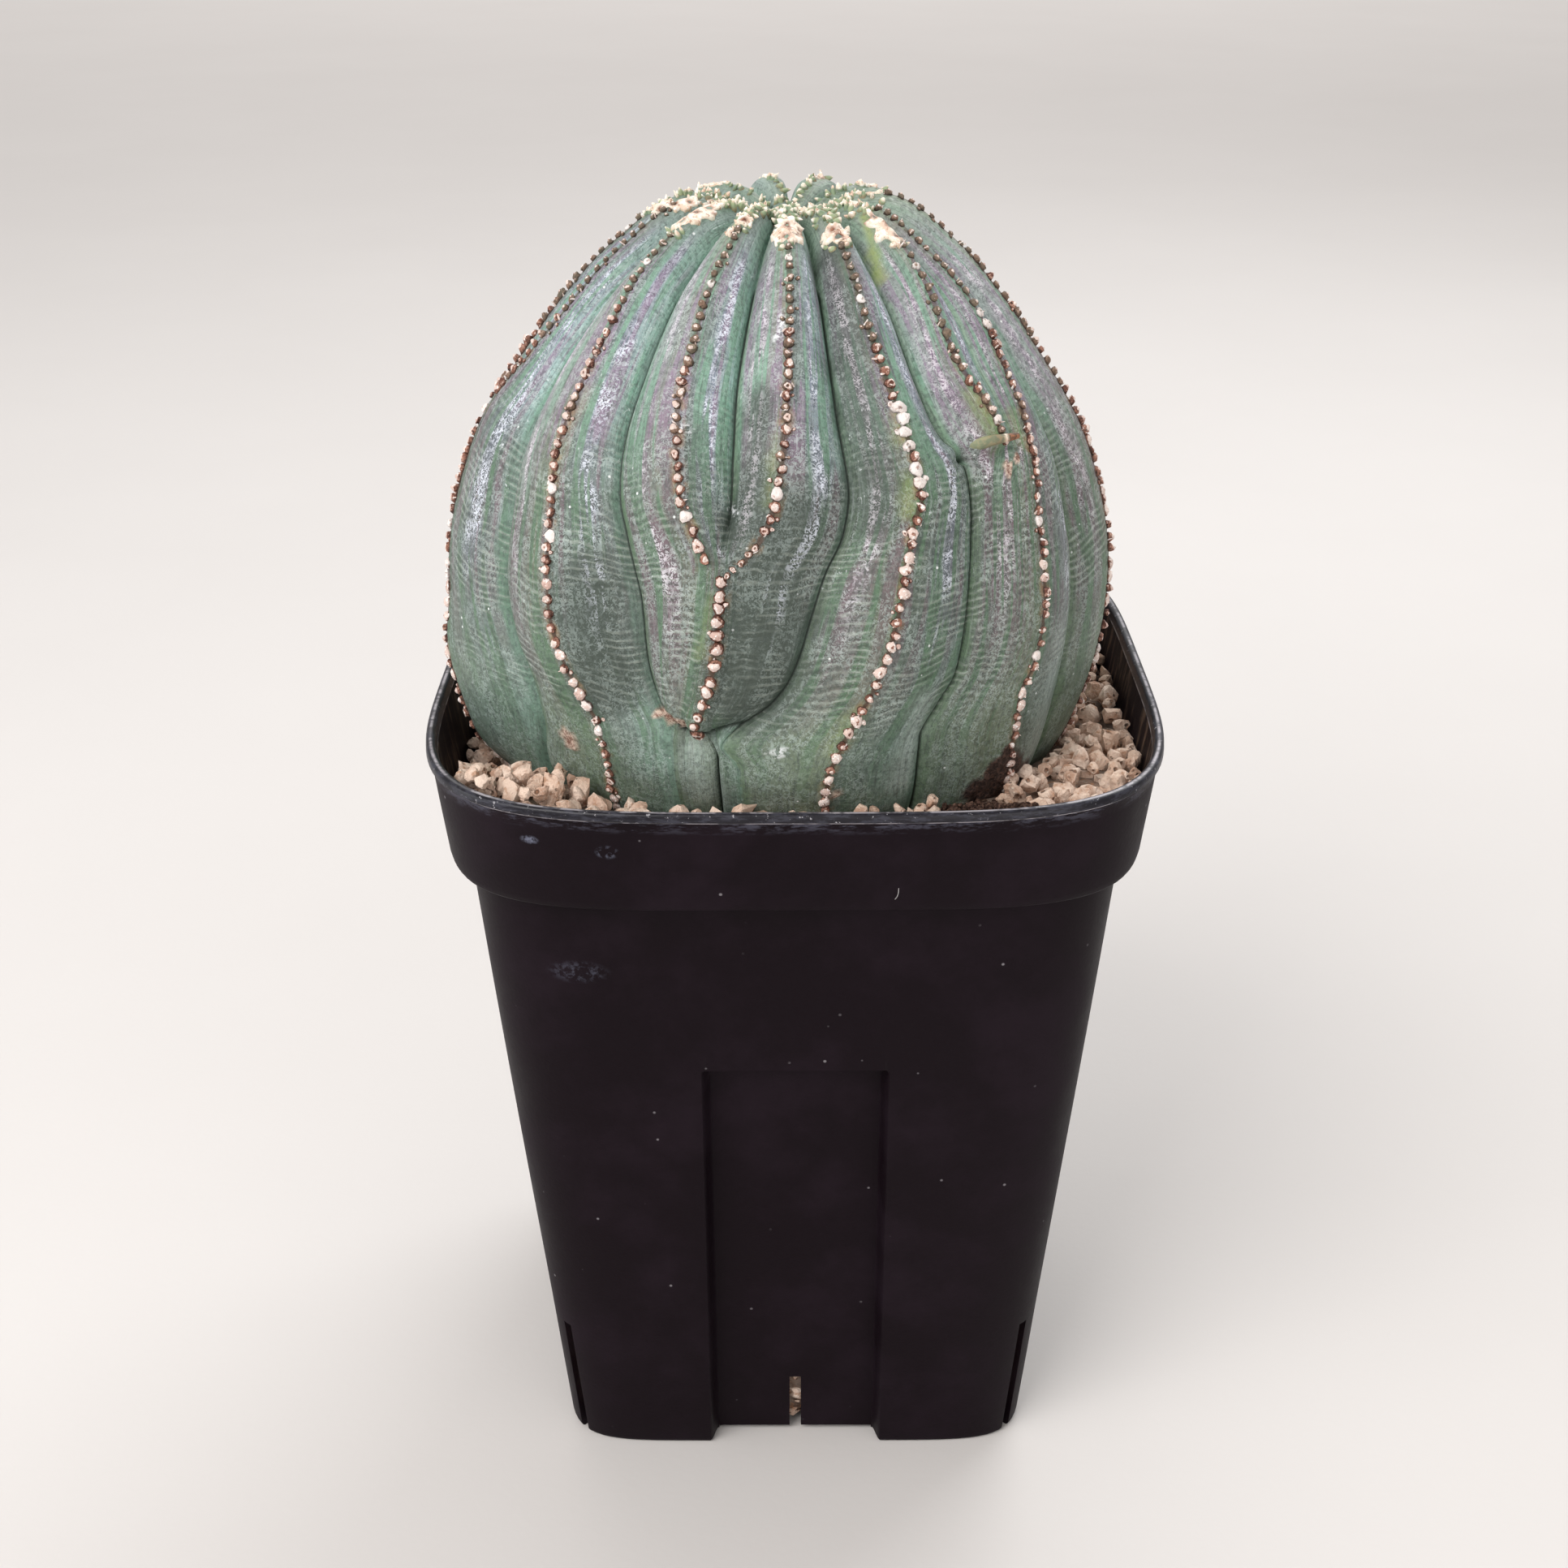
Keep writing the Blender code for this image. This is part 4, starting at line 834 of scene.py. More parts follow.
def crust_material():
    """Papery cream patches, green bracts and the horn, mixed by values on the mesh."""
    s = Shader("papery_crust")
    at = s.place()
    grain = s.noise(at, 1300.0, 3.0, 0.7)
    s.colour = s.mix(s.ramp(s.noise(at, 500.0), 0.4, 0.6), (0.20, 0.27, 0.17), (0.34, 0.40, 0.24))
    paper = s.mix(s.ramp(s.noise(at, 700.0, 2.0), 0.42, 0.62), (0.92, 0.82, 0.69), (0.79, 0.58, 0.45))
    # White flecks on the paper: partly pale crust and partly painted highlights.
    paper = s.mix(s.ramp(grain, 0.53, 0.64), paper, (0.98, 0.95, 0.90))
    paper = s.mix(s.ramp(grain, 0.44, 0.32), paper, (0.40, 0.21, 0.13))
    s.cover(paper, s.attribute("paper"))
    s.cover(s.mix(s.ramp(grain, 0.4, 0.6), (0.10, 0.035, 0.02), (0.36, 0.14, 0.07)), s.attribute("brown"))
    return s.finish(0.62, s.bump(grain, 0.0002, 0.6), 0.35)


def granule_material(name="granule_clay", shade=1.0):
    def tint(*parts):
        return tuple(part * shade for part in parts)

    s = Shader(name)
    at = s.place()
    grain = s.noise(at, 1400.0, 4.0, 0.7)
    patch = s.noise(at, 420.0, 3.0, 0.6)
    s.colour = s.mix(s.attribute("tone"), tint(0.73, 0.53, 0.41), tint(0.90, 0.72, 0.60))
    s.cover(tint(0.53, 0.33, 0.235), s.ramp(patch, 0.40, 0.70))
    # Pale flecks: partly pale grit and partly painted highlights.
    s.cover(tint(0.86, 0.71, 0.59), s.ramp(grain, 0.55, 0.70))
    pits = s.times(s.ramp(s.cells(at, 700.0), 0.30, 0.12), s.ramp(patch, 0.42, 0.56))
    s.cover((0.20, 0.085, 0.04), pits, 0.8)
    s.cover((0.42, 0.21, 0.11), s.ramp(s.noise(at, 850.0, 2.0), 0.60, 0.70), 0.65)
    return s.finish(0.92, s.bump(s.minus(s.times(grain, 0.8), s.times(pits, 1.0)), 0.0007), 0.2)


def mud_material():
    s = Shader("mud_crumb")
    grit = s.noise(s.place(), 1500.0, 3.0, 0.7)
    s.colour = s.mix(s.ramp(grit, 0.40, 0.65), (0.022, 0.011, 0.008), (0.12, 0.068, 0.050))
    return s.finish(0.95, s.bump(grit, 0.0004, 0.8), 0.15)


def add_smudges(s, at):
    """Faint marks on the front wall, each a ragged ellipse."""
    across, rise = s.part(at, 0), s.part(at, 2)
    front = s.ramp(s.part(at, 1), *FRONT_WALL)
    for x, z, wide, tall, strength in SMUDGES:
        dx = s.times(s.minus(across, x * MM), 1.0 / (wide * MM))
        dz = s.times(s.minus(rise, z * MM), 1.0 / (tall * MM))
        away = s.math("SQRT", s.plus(s.times(dx, dx), s.times(dz, dz)))
        ragged = s.ramp(s.noise(at, 900.0, 3.0, 0.7), 0.42, 0.60)
        s.cover((0.16, 0.17, 0.23), s.ramp(away, 1.0, 0.3), front, ragged, strength)


def pot_material():
    s = Shader("black_plastic_dusty")
    at = s.place()
    lip = s.attribute("lip")
    dust = s.noise(at, 60.0, 4.0, 0.62)
    fine = s.noise(at, 1900.0, 2.0, 0.6)
    s.colour = s.mix(s.ramp(dust, 0.40, 0.72), (0.0044, 0.0013, 0.0033), (0.0100, 0.0050, 0.0088))
    s.cover((0.30, 0.28, 0.30), s.ramp(s.cells(at, 240.0), 0.070, 0.030),
            s.ramp(s.noise(at, 120.0), 0.48, 0.60), 0.6)
    add_smudges(s, at)
    streak = s.long_noise(at, (420.0, 420.0, 70.0), 4.0, 0.65)
    s.cover((0.16, 0.105, 0.075), s.attribute("inside"), s.ramp(streak, 0.50, 0.68), 0.7)
    # On the lip, bluish lighter streaks: painted reflection.
    wear_and_sheen = s.long_noise(at, (300.0, 300.0, 1400.0), 4.0, 0.75)
    s.cover((0.085, 0.085, 0.115), lip, s.ramp(wear_and_sheen, 0.46, 0.62), 0.75)
    rough = s.plus(s.ramp(dust, 0.3, 0.7, 0.46, 0.60), s.times(fine, 0.08))
    return s.finish(s.minus(rough, s.times(lip, 0.20)), s.bump(fine, 0.00006, 0.35), 0.11)


def lip_material():
    """The handled edge of the pot: polished by wear, with pale scuffs, painted reflection and painted
    highlight lines.
    """
    s = Shader("black_plastic_lip")
    at = s.place()
    # Bluish lighter streaks along the lip are painted reflection; the same noise varies the roughness where
    # wear polished it.
    wear_and_sheen = s.long_noise(at, (350.0, 350.0, 1500.0), 4.0, 0.75)
    rise = s.part(at, 2)
    s.colour = s.mix(s.ramp(wear_and_sheen, 0.44, 0.62), (0.006, 0.005, 0.009), (0.030, 0.030, 0.042))
    # Thin pale lines round the top of the lip and along its lower edge: painted highlights.
    highlight_lines = s.most(s.bell(rise, POT_HEIGHT * MM, 0.00007), s.bell(rise, HIGHLIGHT_LINE * MM, 0.00016))
    s.cover((0.42, 0.39, 0.42), highlight_lines, s.ramp(s.noise(at, 260.0, 3.0, 0.7), 0.42, 0.58, 0.1, 0.9))
    s.cover((0.30, 0.29, 0.31), s.ramp(s.noise(at, 1300.0, 3.0, 0.7), 0.63, 0.70))
    return s.finish(s.ramp(wear_and_sheen, 0.3, 0.7, 0.28, 0.42), s.bump(wear_and_sheen, 0.0001, 0.4), 0.32)


def lint_material():
    s = Shader("lint")
    s.colour = s.mix(s.noise(s.place(), 1500.0), (0.28, 0.26, 0.26), (0.46, 0.44, 0.44))
    return s.finish(0.8)


def floor_material():
    s = Shader("pale_floor")
    at = s.place()
    s.colour = s.mix(s.noise(at, 6.0, 4.0, 0.6), (0.66, 0.63, 0.61), (0.62, 0.59, 0.57))
    return s.finish(0.8, s.bump(s.noise(at, 700.0), 0.0001, 0.3), 0.3)


# ---------------------------------------------------------------- plant body

ROW_STEP = 0.47
SECTOR_COLUMNS = 14
COLUMN_POWER = 1.3
SKIN_END = 126.0
FIRST_ROWS = (2.0, 3.2)
HIDDEN_ROWS = (131.0, 136.0, 142.0, 150.0, 160.0)
# The polar angles of the two closing points, the width of one rib in strip units, and how near a
# chain, in degrees of azimuth, a crest point has to be to carry the brown line, which is part crust
# and part painted shade between the tubercles.
POLES = (0.3, 179.5)
STRIP_WIDTH = 8.0
CHAIN_SIDE = 12.0


def body_rows():
    """Polar angles of the rows of the skin, close together down to where the mix hides it."""
    rows = list(FIRST_ROWS)
    while rows[-1] < SKIN_END:
        rows.append(rows[-1] + math.degrees(ROW_STEP / float(curve(CREST_RADIUS, rows[-1]))))
    return np.array(rows + list(HIDDEN_ROWS))


def corner_values(own, ending):
    """Values at the corners of the skin's quads; the last column of a sector ends in its own terms."""
    after = np.roll(own, -1, axis=1)
    starts = np.arange(own.shape[1]) % SECTOR_COLUMNS == SECTOR_COLUMNS - 1
    after[:, starts] = np.roll(ending, -1, axis=1)[:, starts]
    quads = np.stack([own[1:], after[1:], after[:-1], own[:-1]], axis=2)
    quads = quads.reshape(-1, *own.shape[2:])
    top = np.stack([own[0], own[0], after[0]], axis=1).reshape(-1, *own.shape[2:])
    foot = np.stack([own[-1], after[-1], own[-1]], axis=1).reshape(-1, *own.shape[2:])
    return np.concatenate([quads, np.stack([top, foot]).reshape(-1, *own.shape[2:])])


def build_skin(material):
    rows = body_rows()
    turn, _ = line_tables(rows)
    columns = []
    steps = np.arange(SECTOR_COLUMNS) / SECTOR_COLUMNS
    for i in range(len(RIB_LINES)):
        if LINE_NAMES[i].startswith("furrow") or LINE_NAMES[i] == "rib_cd":
            share = steps ** COLUMN_POWER
        else:
            share = 1.0 - (1.0 - steps) ** COLUMN_POWER
        columns.append(turn[i][:, None] + (turn[i + 1] - turn[i])[:, None] * share[None, :])
    azimuth = np.concatenate(columns, axis=1)
    polar = np.repeat(rows[:, None], azimuth.shape[1], axis=1)
    state = skin_at(polar.ravel(), azimuth.ravel())
    count = azimuth.shape[1]
    faces = [tuple(reversed(face)) for face in ring_faces(len(rows), count)]
    tips = skin_at(np.array(POLES), np.zeros(2))["point"]
    points = np.concatenate([state["point"], tips])
    top = len(points) - 2
    last = (len(rows) - 1) * count
    faces += [(top, i, (i + 1) % count) for i in range(count)]
    faces += [(top + 1, last + (i + 1) % count, last + i) for i in range(count)]

    # The first column of a sector is also seen as the end of the sector before it.
    sector = np.repeat(np.arange(count)[None, :] // SECTOR_COLUMNS, len(rows), axis=0)
    share = np.where(state["rising"], state["face"], 1.0 - state["face"]).reshape(polar.shape)
    wave = state["wave"].reshape(polar.shape)

    def face_and_side(turned):
        return [values.reshape(polar.shape) for values in skin_face(polar.ravel(), azimuth.ravel() + turned)]

    def strip_place(across):
        return np.stack([across * STRIP_WIDTH, wave, np.zeros_like(wave)], axis=2)

    face, side = face_and_side(0.0)
    end_face, end_side = face_and_side(-0.01)
    strip = strip_place(sector + share)
    end_strip = strip_place(np.where(sector == 0, len(RIB_LINES), sector))
    corners = {
        "strip": corner_values(strip, end_strip),
        "face": corner_values(face, end_face),
        "right": corner_values((side + 1.0) / 2.0, (end_side + 1.0) / 2.0),
    }

    def padded(values):
        return np.concatenate([values, values[:1], values[-1:]])

    low = np.zeros(polar.size)
    for name, first, end in CHAINS:
        i = LINE_NAMES.index(name)
        away = np.abs(polar - np.clip(polar, first, end)).ravel()
        near = np.abs(azimuth - turn[i][:, None]).ravel() < CHAIN_SIDE
        low = np.maximum(low, near * smooth(1.0 - away / 1.5))
    on_chain = (state["crest"] > 0.5) & (low > 0.5)
    line_fade = 6.0 * (1.0 - state["furrow"]) + 2.0 * smooth((26.0 - state["polar"]) / 14.0)
    values = {
        "polar": padded(state["polar"]),
        "crest_near": padded(np.where(on_chain, state["crest_mm"], 9.0)),
        "furrow_near": padded(state["furrow_mm"] + line_fade),
    }
    for key in ("crease", "mud", "yellow", "cork", "shade", "scuffed"):
        values[key] = padded(state[key])
    return make_mesh("plant_skin", points, faces, material, values, corners=corners)


# ---------------------------------------------------------------- tubercles

TUBERCLE_SPACING = 1.52
TUBERCLE_SIDES = 10
TUBERCLE_RADIUS = 0.74
TUBERCLE_SEED = 21
SHARP_TUBERCLE = 42
# Degrees in a radian, for the small steps beside a chain.
DEGREES = 57.3
# Single tubercles where two chains run together, and the tip of the nose: azimuth, polar, size.
LOOSE_TUBERCLES = [
    (-3.9, 66.6, 0.75), (-4.9, 67.6, 0.72), (-6.1, 69.0, 0.70), (-7.4, 70.0, 0.66), (-8.2, 71.0, 0.62),
]
NOSE_TIP = (-13.6, 98.9, 1.55)
NOSE_LEAN = (0.0, 0.9)
# Kinds of tubercle: radius, height, cap, pit and low shares from the foot to the tip; the low share is
# painted shade at the foot.
CUP = [
    (1.0, -0.5, 0, 0, 1), (0.92, 0.0, 0, 0, 0.9), (0.82, 0.32, 0, 0, 0.2), (0.84, 0.62, 0, 0, 0),
    (0.74, 0.80, 0.1, 0.2, 0), (0.44, 0.84, 0.4, 0.5, 0), (0.27, 0.98, 1, 0, 0), (0.13, 1.08, 1, 0, 0),
    (0.0, 1.10, 1, 0, 0),
]
KNOB = [
    (1.0, -0.5, 0, 0, 1), (0.94, 0.0, 0, 0, 0.85), (0.88, 0.28, 0, 0, 0.15), (0.78, 0.56, 0.15, 0, 0),
    (0.62, 0.82, 0.5, 0, 0), (0.43, 1.02, 0.9, 0, 0), (0.27, 1.14, 1, 0, 0), (0.12, 1.20, 1, 0, 0),
    (0.0, 1.21, 1, 0, 0),
]
STUMP = [
    (1.05, -0.5, 0, 0, 1), (0.98, 0.0, 0, 0, 0.85), (0.88, 0.30, 0, 0, 0.15), (0.80, 0.58, 0.1, 0, 0),
    (0.70, 0.80, 0.5, 0, 0), (0.52, 0.90, 0.8, 0, 0), (0.34, 0.84, 0.5, 0.2, 0),
    (0.17, 0.74, 0.3, 0.7, 0), (0.0, 0.72, 0.2, 0.8, 0),
]
CRUST = [
    (1.20, -0.5, 0.1, 0, 1), (1.16, 0.0, 0.3, 0, 0.6), (1.08, 0.24, 0.6, 0, 0), (0.94, 0.46, 0.8, 0, 0),
    (0.74, 0.62, 0.8, 0, 0), (0.52, 0.72, 0.75, 0, 0), (0.32, 0.76, 0.6, 0, 0), (0.14, 0.78, 0.5, 0.2, 0),
    (0.0, 0.78, 0.4, 0.3, 0),
]
# Chalky stretches: rib line, first and last polar angle, share of white knobs, size.
WHITE_SPOTS = [
    ("rib_e", 46.0, 49.0, 0.9, 1.15), ("rib_e", 49.0, 55.5, 0.25, 1.05), ("rib_e", 55.5, 59.5, 0.9, 1.15),
    ("rib_d", 52.5, 54.0, 0.8, 0.95), ("rib_d", 57.5, 58.8, 1.0, 1.0), ("rib_c", 57.0, 59.0, 0.5, 1.0),
    ("rib_b", 42.0, 90.0, 0.10, 1.0), ("rib_d", 22.3, 24.0, 1.0, 0.75), ("rib_d", 40.0, 56.0, 0.12, 0.9),
    ("rib_c", 58.0, 70.0, 0.12, 1.0), ("rib_g", 58.0, 112.0, 0.08, 0.9),
    ("rib_b", 98.0, 118.0, 0.15, 0.9), ("rib_a", 70.0, 90.0, 0.15, 1.0),
]
# Ribs whose tubercles are paler or darker than the rest.
PALER = {
    "rib_b": 1.7, "rib_g": 1.45, "rib_d": 1.4, "rib_cd": 1.6, "rib_a": 1.4, "rib_c": 1.1, "rib_e": 1.05,
    "rib_f": 0.8,
}


def tubercle_shape(kind, chance):
    """One small lathe with uneven sides, and its shares of cap, pit and painted shade at the foot."""
    turn = np.linspace(0.0, 2.0 * math.pi, TUBERCLE_SIDES, endpoint=False)
    uneven = 1.0 + 0.11 * np.cos(2 * turn + chance.uniform(0, 6.3))
    uneven = uneven + 0.09 * np.cos(3 * turn + chance.uniform(0, 6.3))
    points, shares = [], []
    for radius, height, *kept in kind[:-1]:
        for i in range(TUBERCLE_SIDES):
            reach = radius * uneven[i] * chance.uniform(0.86, 1.13)
            rise = height + chance.uniform(-0.09, 0.09)
            points.append((reach * math.cos(turn[i]), reach * math.sin(turn[i]), rise))
            shares.append(kept)
    points.append((0.0, 0.0, kind[-1][1]))
    shares.append(kind[-1][2:])
    return np.array(points), np.array(shares, float).T


def chain_polar(name, first, last, chance):
    """Polar angles of the tubercles of one chain."""
    polar = first
    found = []
    while polar <= last:
        found.append(polar)
        step = TUBERCLE_SPACING * chance.choice((0.85, 0.93, 1.0, 1.0, 1.08, 1.2))
        if name == "rib_cd":
            step *= 1.22 if polar < 93 else 0.9
        elif polar > 74:
            step *= 1.12
        polar += math.degrees(step / float(curve(CREST_RADIUS, polar)))
    return found


def tubercle_spots(chance):
    """Polar angle, azimuth, size, kind, whiteness, olive share, side and paleness of every tubercle."""
    spots = []
    for name, first, last in CHAINS:
        for polar in chain_polar(name, first, last, chance):
            azimuth = float(line_azimuth(name, polar)) + chance.uniform(-0.3, 0.3)
            chalk, scale = 0.03, 1.0
            for spot, a, b, share, wide in WHITE_SPOTS:
                if spot == name and a <= polar <= b:
                    chalk, scale = share, wide
            young = polar < 32 + 10 * chance.random()
            old = polar > 60 + 14 * chance.random()
            white = chance.uniform(0.5, 0.95) if chance.random() < chalk else 0.0
            if name == "rib_cd":
                kind = KNOB if polar < 93 or chance.random() < 0.5 else STUMP
                scale = 1.30 if polar < 90 else 1.0
                white = chance.uniform(0.0, 0.35)
            elif white or (old and chance.random() < 0.35):
                kind = CRUST
            elif young or chance.random() < 0.25:
                kind = CUP
            else:
                kind = chance.choice((KNOB, KNOB, STUMP))
            growth = 0.78 + 0.22 * float(smooth((polar - 26.0) / 14.0))
            size = chance.uniform(0.84, 1.06) * scale * growth
            if name in ("rib_a", "rib_h", "rib_a_back"):
                size *= 1.08
            if young:
                olive = chance.uniform(0.6, 1.0)
            else:
                olive = 0.6 if polar < 54 and chance.random() < 0.5 else 0.0
            cream = PALER.get(name, 1.0)
            spots.append((polar, azimuth, size, kind, white, olive, 0.0, cream))
            if chance.random() < (0.30 if name != "rib_cd" or polar > 90 else 0.06):
                side = chance.choice((-1.0, 1.0))
                off = side * chance.uniform(0.7, 1.0) * DEGREES / max(9.0, reach_of(polar))
                beside = polar + chance.uniform(-0.8, 0.8)
                small = chance.uniform(0.35, 0.5) * scale
                spots.append((beside, azimuth + off, small, kind, white, olive, side, cream))
    for azimuth, polar, size in LOOSE_TUBERCLES:
        spots.append((polar, azimuth, size, STUMP, 0.2, 0.3, 0.0, 1.0))
    spots.append((NOSE_TIP[1], NOSE_TIP[0], NOSE_TIP[2], KNOB, 0.0, 0.0, 0.0, 0.8))
    return spots


def build_tubercles(material):
    chance = random.Random(TUBERCLE_SEED)
    faces = cone_faces(len(CUP) - 1, TUBERCLE_SIDES)
    spots = tubercle_spots(chance)
    polar = np.array([spot[0] for spot in spots])
    azimuth = np.array([spot[1] for spot in spots])
    at, out, down = frames_on_skin(polar, azimuth)
    side = np.cross(out, down)
    heap = Heap()
    for i, (here, _, size, kind, white, olive, aside, cream) in enumerate(spots):
        knob, (cap, pit, low) = tubercle_shape(kind, chance)
        knob[:, 1] *= chance.uniform(0.88, 1.08)
        tall = chance.uniform(0.75, 1.15)
        knob[:, 2] = np.where(knob[:, 2] > 0, knob[:, 2] * tall, knob[:, 2])
        lift = np.maximum(0.0, knob[:, 2])
        lean_across = aside * 0.35 + chance.uniform(-0.25, 0.25)
        lean_down = chance.uniform(-0.35, 0.1) if here < 60 else chance.uniform(-0.2, 0.2)
        if i == len(spots) - 1:
            lean_across, lean_down = NOSE_LEAN
        knob[:, 0] += lean_across * lift
        knob[:, 1] += lean_down * lift
        knob *= size * TUBERCLE_RADIUS
        placed = at[i] + knob[:, :1] * side[i] + knob[:, 1:2] * down[i] + knob[:, 2:] * out[i]
        tone = chance.random()
        cap = cap * cream * (0.62 + 0.38 * float(smooth((here - 34.0) / 14.0)))
        pit = pit * chance.uniform(0.0, 0.9) * (white < 0.5)
        heap.add(placed, faces, cap=cap, pit=pit, low=low, tone=tone, white=white, olive=olive)

        # Dry tips of spent flower stalks, left on and between the tubercles.
        for _ in range(chance.choice((0, 1, 1, 2)) if size > 0.6 else 0):
            turn = chance.uniform(0.0, 2.0 * math.pi)
            reach = chance.uniform(0.35, 0.95) * size * TUBERCLE_RADIUS
            radius, height = chance.uniform(0.12, 0.22), chance.uniform(0.35, 0.7)
            tip, tip_faces = pointed_cone(radius, height, 5, chance.uniform(-0.5, 0.5))
            axis = out[i] + chance.uniform(-0.7, 0.7) * down[i] + chance.uniform(-0.7, 0.7) * side[i]
            spread = math.cos(turn) * side[i] + math.sin(turn) * down[i]
            foot = at[i] + reach * spread + 0.15 * tall * out[i]
            tone = chance.uniform(0.4, 1.0)
            chalk = chance.choice((0.0, 0.4, 0.9)) * (here > 45 or chance.random() < 0.3)
            heap.add(stand(tip, foot, axis, down[i]), tip_faces, cap=1.3, pit=0.0, low=0.0, tone=tone,
                     white=chalk, olive=0.0)
    return heap.build("tubercles", material, SHARP_TUBERCLE)


# ---------------------------------------------------------------- crown, scars, horn

# Papery patches on the crests: azimuth and polar of the centre, length down, width, seed.
SCARS = [
    (-51.0, 15.6, 8.6, 3.8, 1), (-77.5, 14.5, 4.6, 2.8, 2), (-20.4, 16.2, 2.6, 2.0, 3),
    (0.8, 17.9, 5.8, 4.2, 4), (20.3, 18.9, 4.0, 3.6, 5), (44.5, 18.8, 7.4, 3.8, 6),
    (97.0, 11.5, 3.5, 1.8, 7), (129.0, 14.5, 3.5, 2.0, 8), (162.0, 13.5, 3.0, 2.0, 9),
    (-170.0, 13.5, 3.0, 2.0, 10), (-135.0, 14.5, 4.0, 2.2, 11), (-73.0, 10.5, 3.0, 1.8, 12),
    (56.5, 11.5, 2.6, 1.6, 13), (-92.0, 17.5, 3.4, 2.2, 14), (-22.0, 18.8, 2.0, 1.7, 15),
]


# Scars and bracts: random seeds, the grid of a scar, bracts at the tip, and the ribs at the back.
SCAR_SEED = 31
SCAR_RINGS = 9
SCAR_SPOKES = 40
CROWN_SEED = 41
TIP_BRACTS = 60
BACK_RIBS = ("rib_k", "rib_j", "rib_i", "rib_l")
# How far the bracts stay under the top of the solids.
CROWN_CLEARANCE = 0.15


def build_scars(material):
    """Ragged plates of dry skin with upturned edges and brown sunken middles."""
    heap = Heap()
    rng = np.random.default_rng(SCAR_SEED)
    rings, spokes = SCAR_RINGS, SCAR_SPOKES
    for azimuth0, polar0, length, width, seed in SCARS:
        turn = np.linspace(0.0, 2.0 * math.pi, spokes, endpoint=False)
        petals = np.abs(np.sin(3.5 * turn + seed)) ** 1.5
        ragged = 0.80 + 0.26 * petals + rng.uniform(-0.10, 0.16, spokes)
        curl = rng.uniform(0.0, 0.55, spokes) * (0.4 + 0.6 * petals)
        radii = np.linspace(0.0, 1.0, rings)[1:]
        across = np.concatenate([[0.0]] + [r * ragged * np.sin(turn) * width / 2 for r in radii])
        along = np.concatenate([[0.0]] + [r * ragged * np.cos(turn) * length / 2 for r in radii])
        share = np.concatenate([[0.0], np.repeat(radii, spokes)])
        curled = np.concatenate([[0.0], np.tile(curl, rings - 1)])
        polar = polar0 + np.degrees(along / float(curve(CREST_RADIUS, polar0)))
        azimuth = azimuth0 + np.degrees(across / reach_of(polar0))
        at, out, _ = frames_on_skin(np.maximum(polar, 2.0), azimuth)
        wrinkle = noise_at(across, along, seed * 7.0, 0.75, 32)
        lift = 0.12 + 0.16 * (1 - share) + 0.22 * wrinkle + curled * smooth((share - 0.55) / 0.4)
        lift = np.where(share > 0.99, -0.15, lift)
        pits = np.zeros(len(share))
        count = max(1, round(length / 2.6))
        for k in range(count):
            centre = ((k + 0.6) / count - 0.5) * length * 0.8
            apart = (along - centre) ** 2 + (across - 0.3 * math.sin(seed + k)) ** 2
            pits = np.maximum(pits, np.exp(-apart / 0.22))
        lift = lift - 0.25 * pits
        brown = np.clip(pits * 1.2 + 0.6 * (wrinkle < -0.5), 0, 1)
        placed = at + out * lift[:, None]
        faces = [(0, 1 + i, 1 + (i + 1) % spokes) for i in range(spokes)]
        faces += [(b, a, d, c) for a, b, c, d in ring_faces(rings - 1, spokes, 1)]
        heap.add(placed, [tuple(reversed(face)) for face in faces], paper=np.where(share > 0.99, 0.6, 1.0),
                 brown=brown)
    return heap.build("crest_scars", material)


def pointed_cone(radius, height, sides, bend):
    """A small bent spike, a little flattened."""
    points = []
    profile = [(1.05, -0.7), (1.0, 0.0), (0.82, 0.3), (0.58, 0.62), (0.3, 0.88)]
    for share, rise in profile:
        for i in range(sides):
            turn = 2.0 * math.pi * i / sides
            wide = radius * share
            points.append((wide * math.cos(turn), wide * math.sin(turn) * 0.75, rise * height))
    points.append((0.0, 0.0, height))
    points = np.array(points)
    points[:, 0] += bend * np.maximum(0.0, points[:, 2]) ** 2 / height
    return points, cone_faces(len(profile), sides)


def scar_share(azimuth, polar):
    """Under 1 where a point lies inside a papery patch."""
    shares = []
    for azimuth0, polar0, length, width, _ in SCARS:
        across = math.radians(azimuth - azimuth0) * reach_of(polar0)
        along = math.radians(polar - polar0) * float(curve(CREST_RADIUS, polar0))
        shares.append(math.hypot(across / (width / 2.0), along / (length / 2.0)))
    return min(shares)


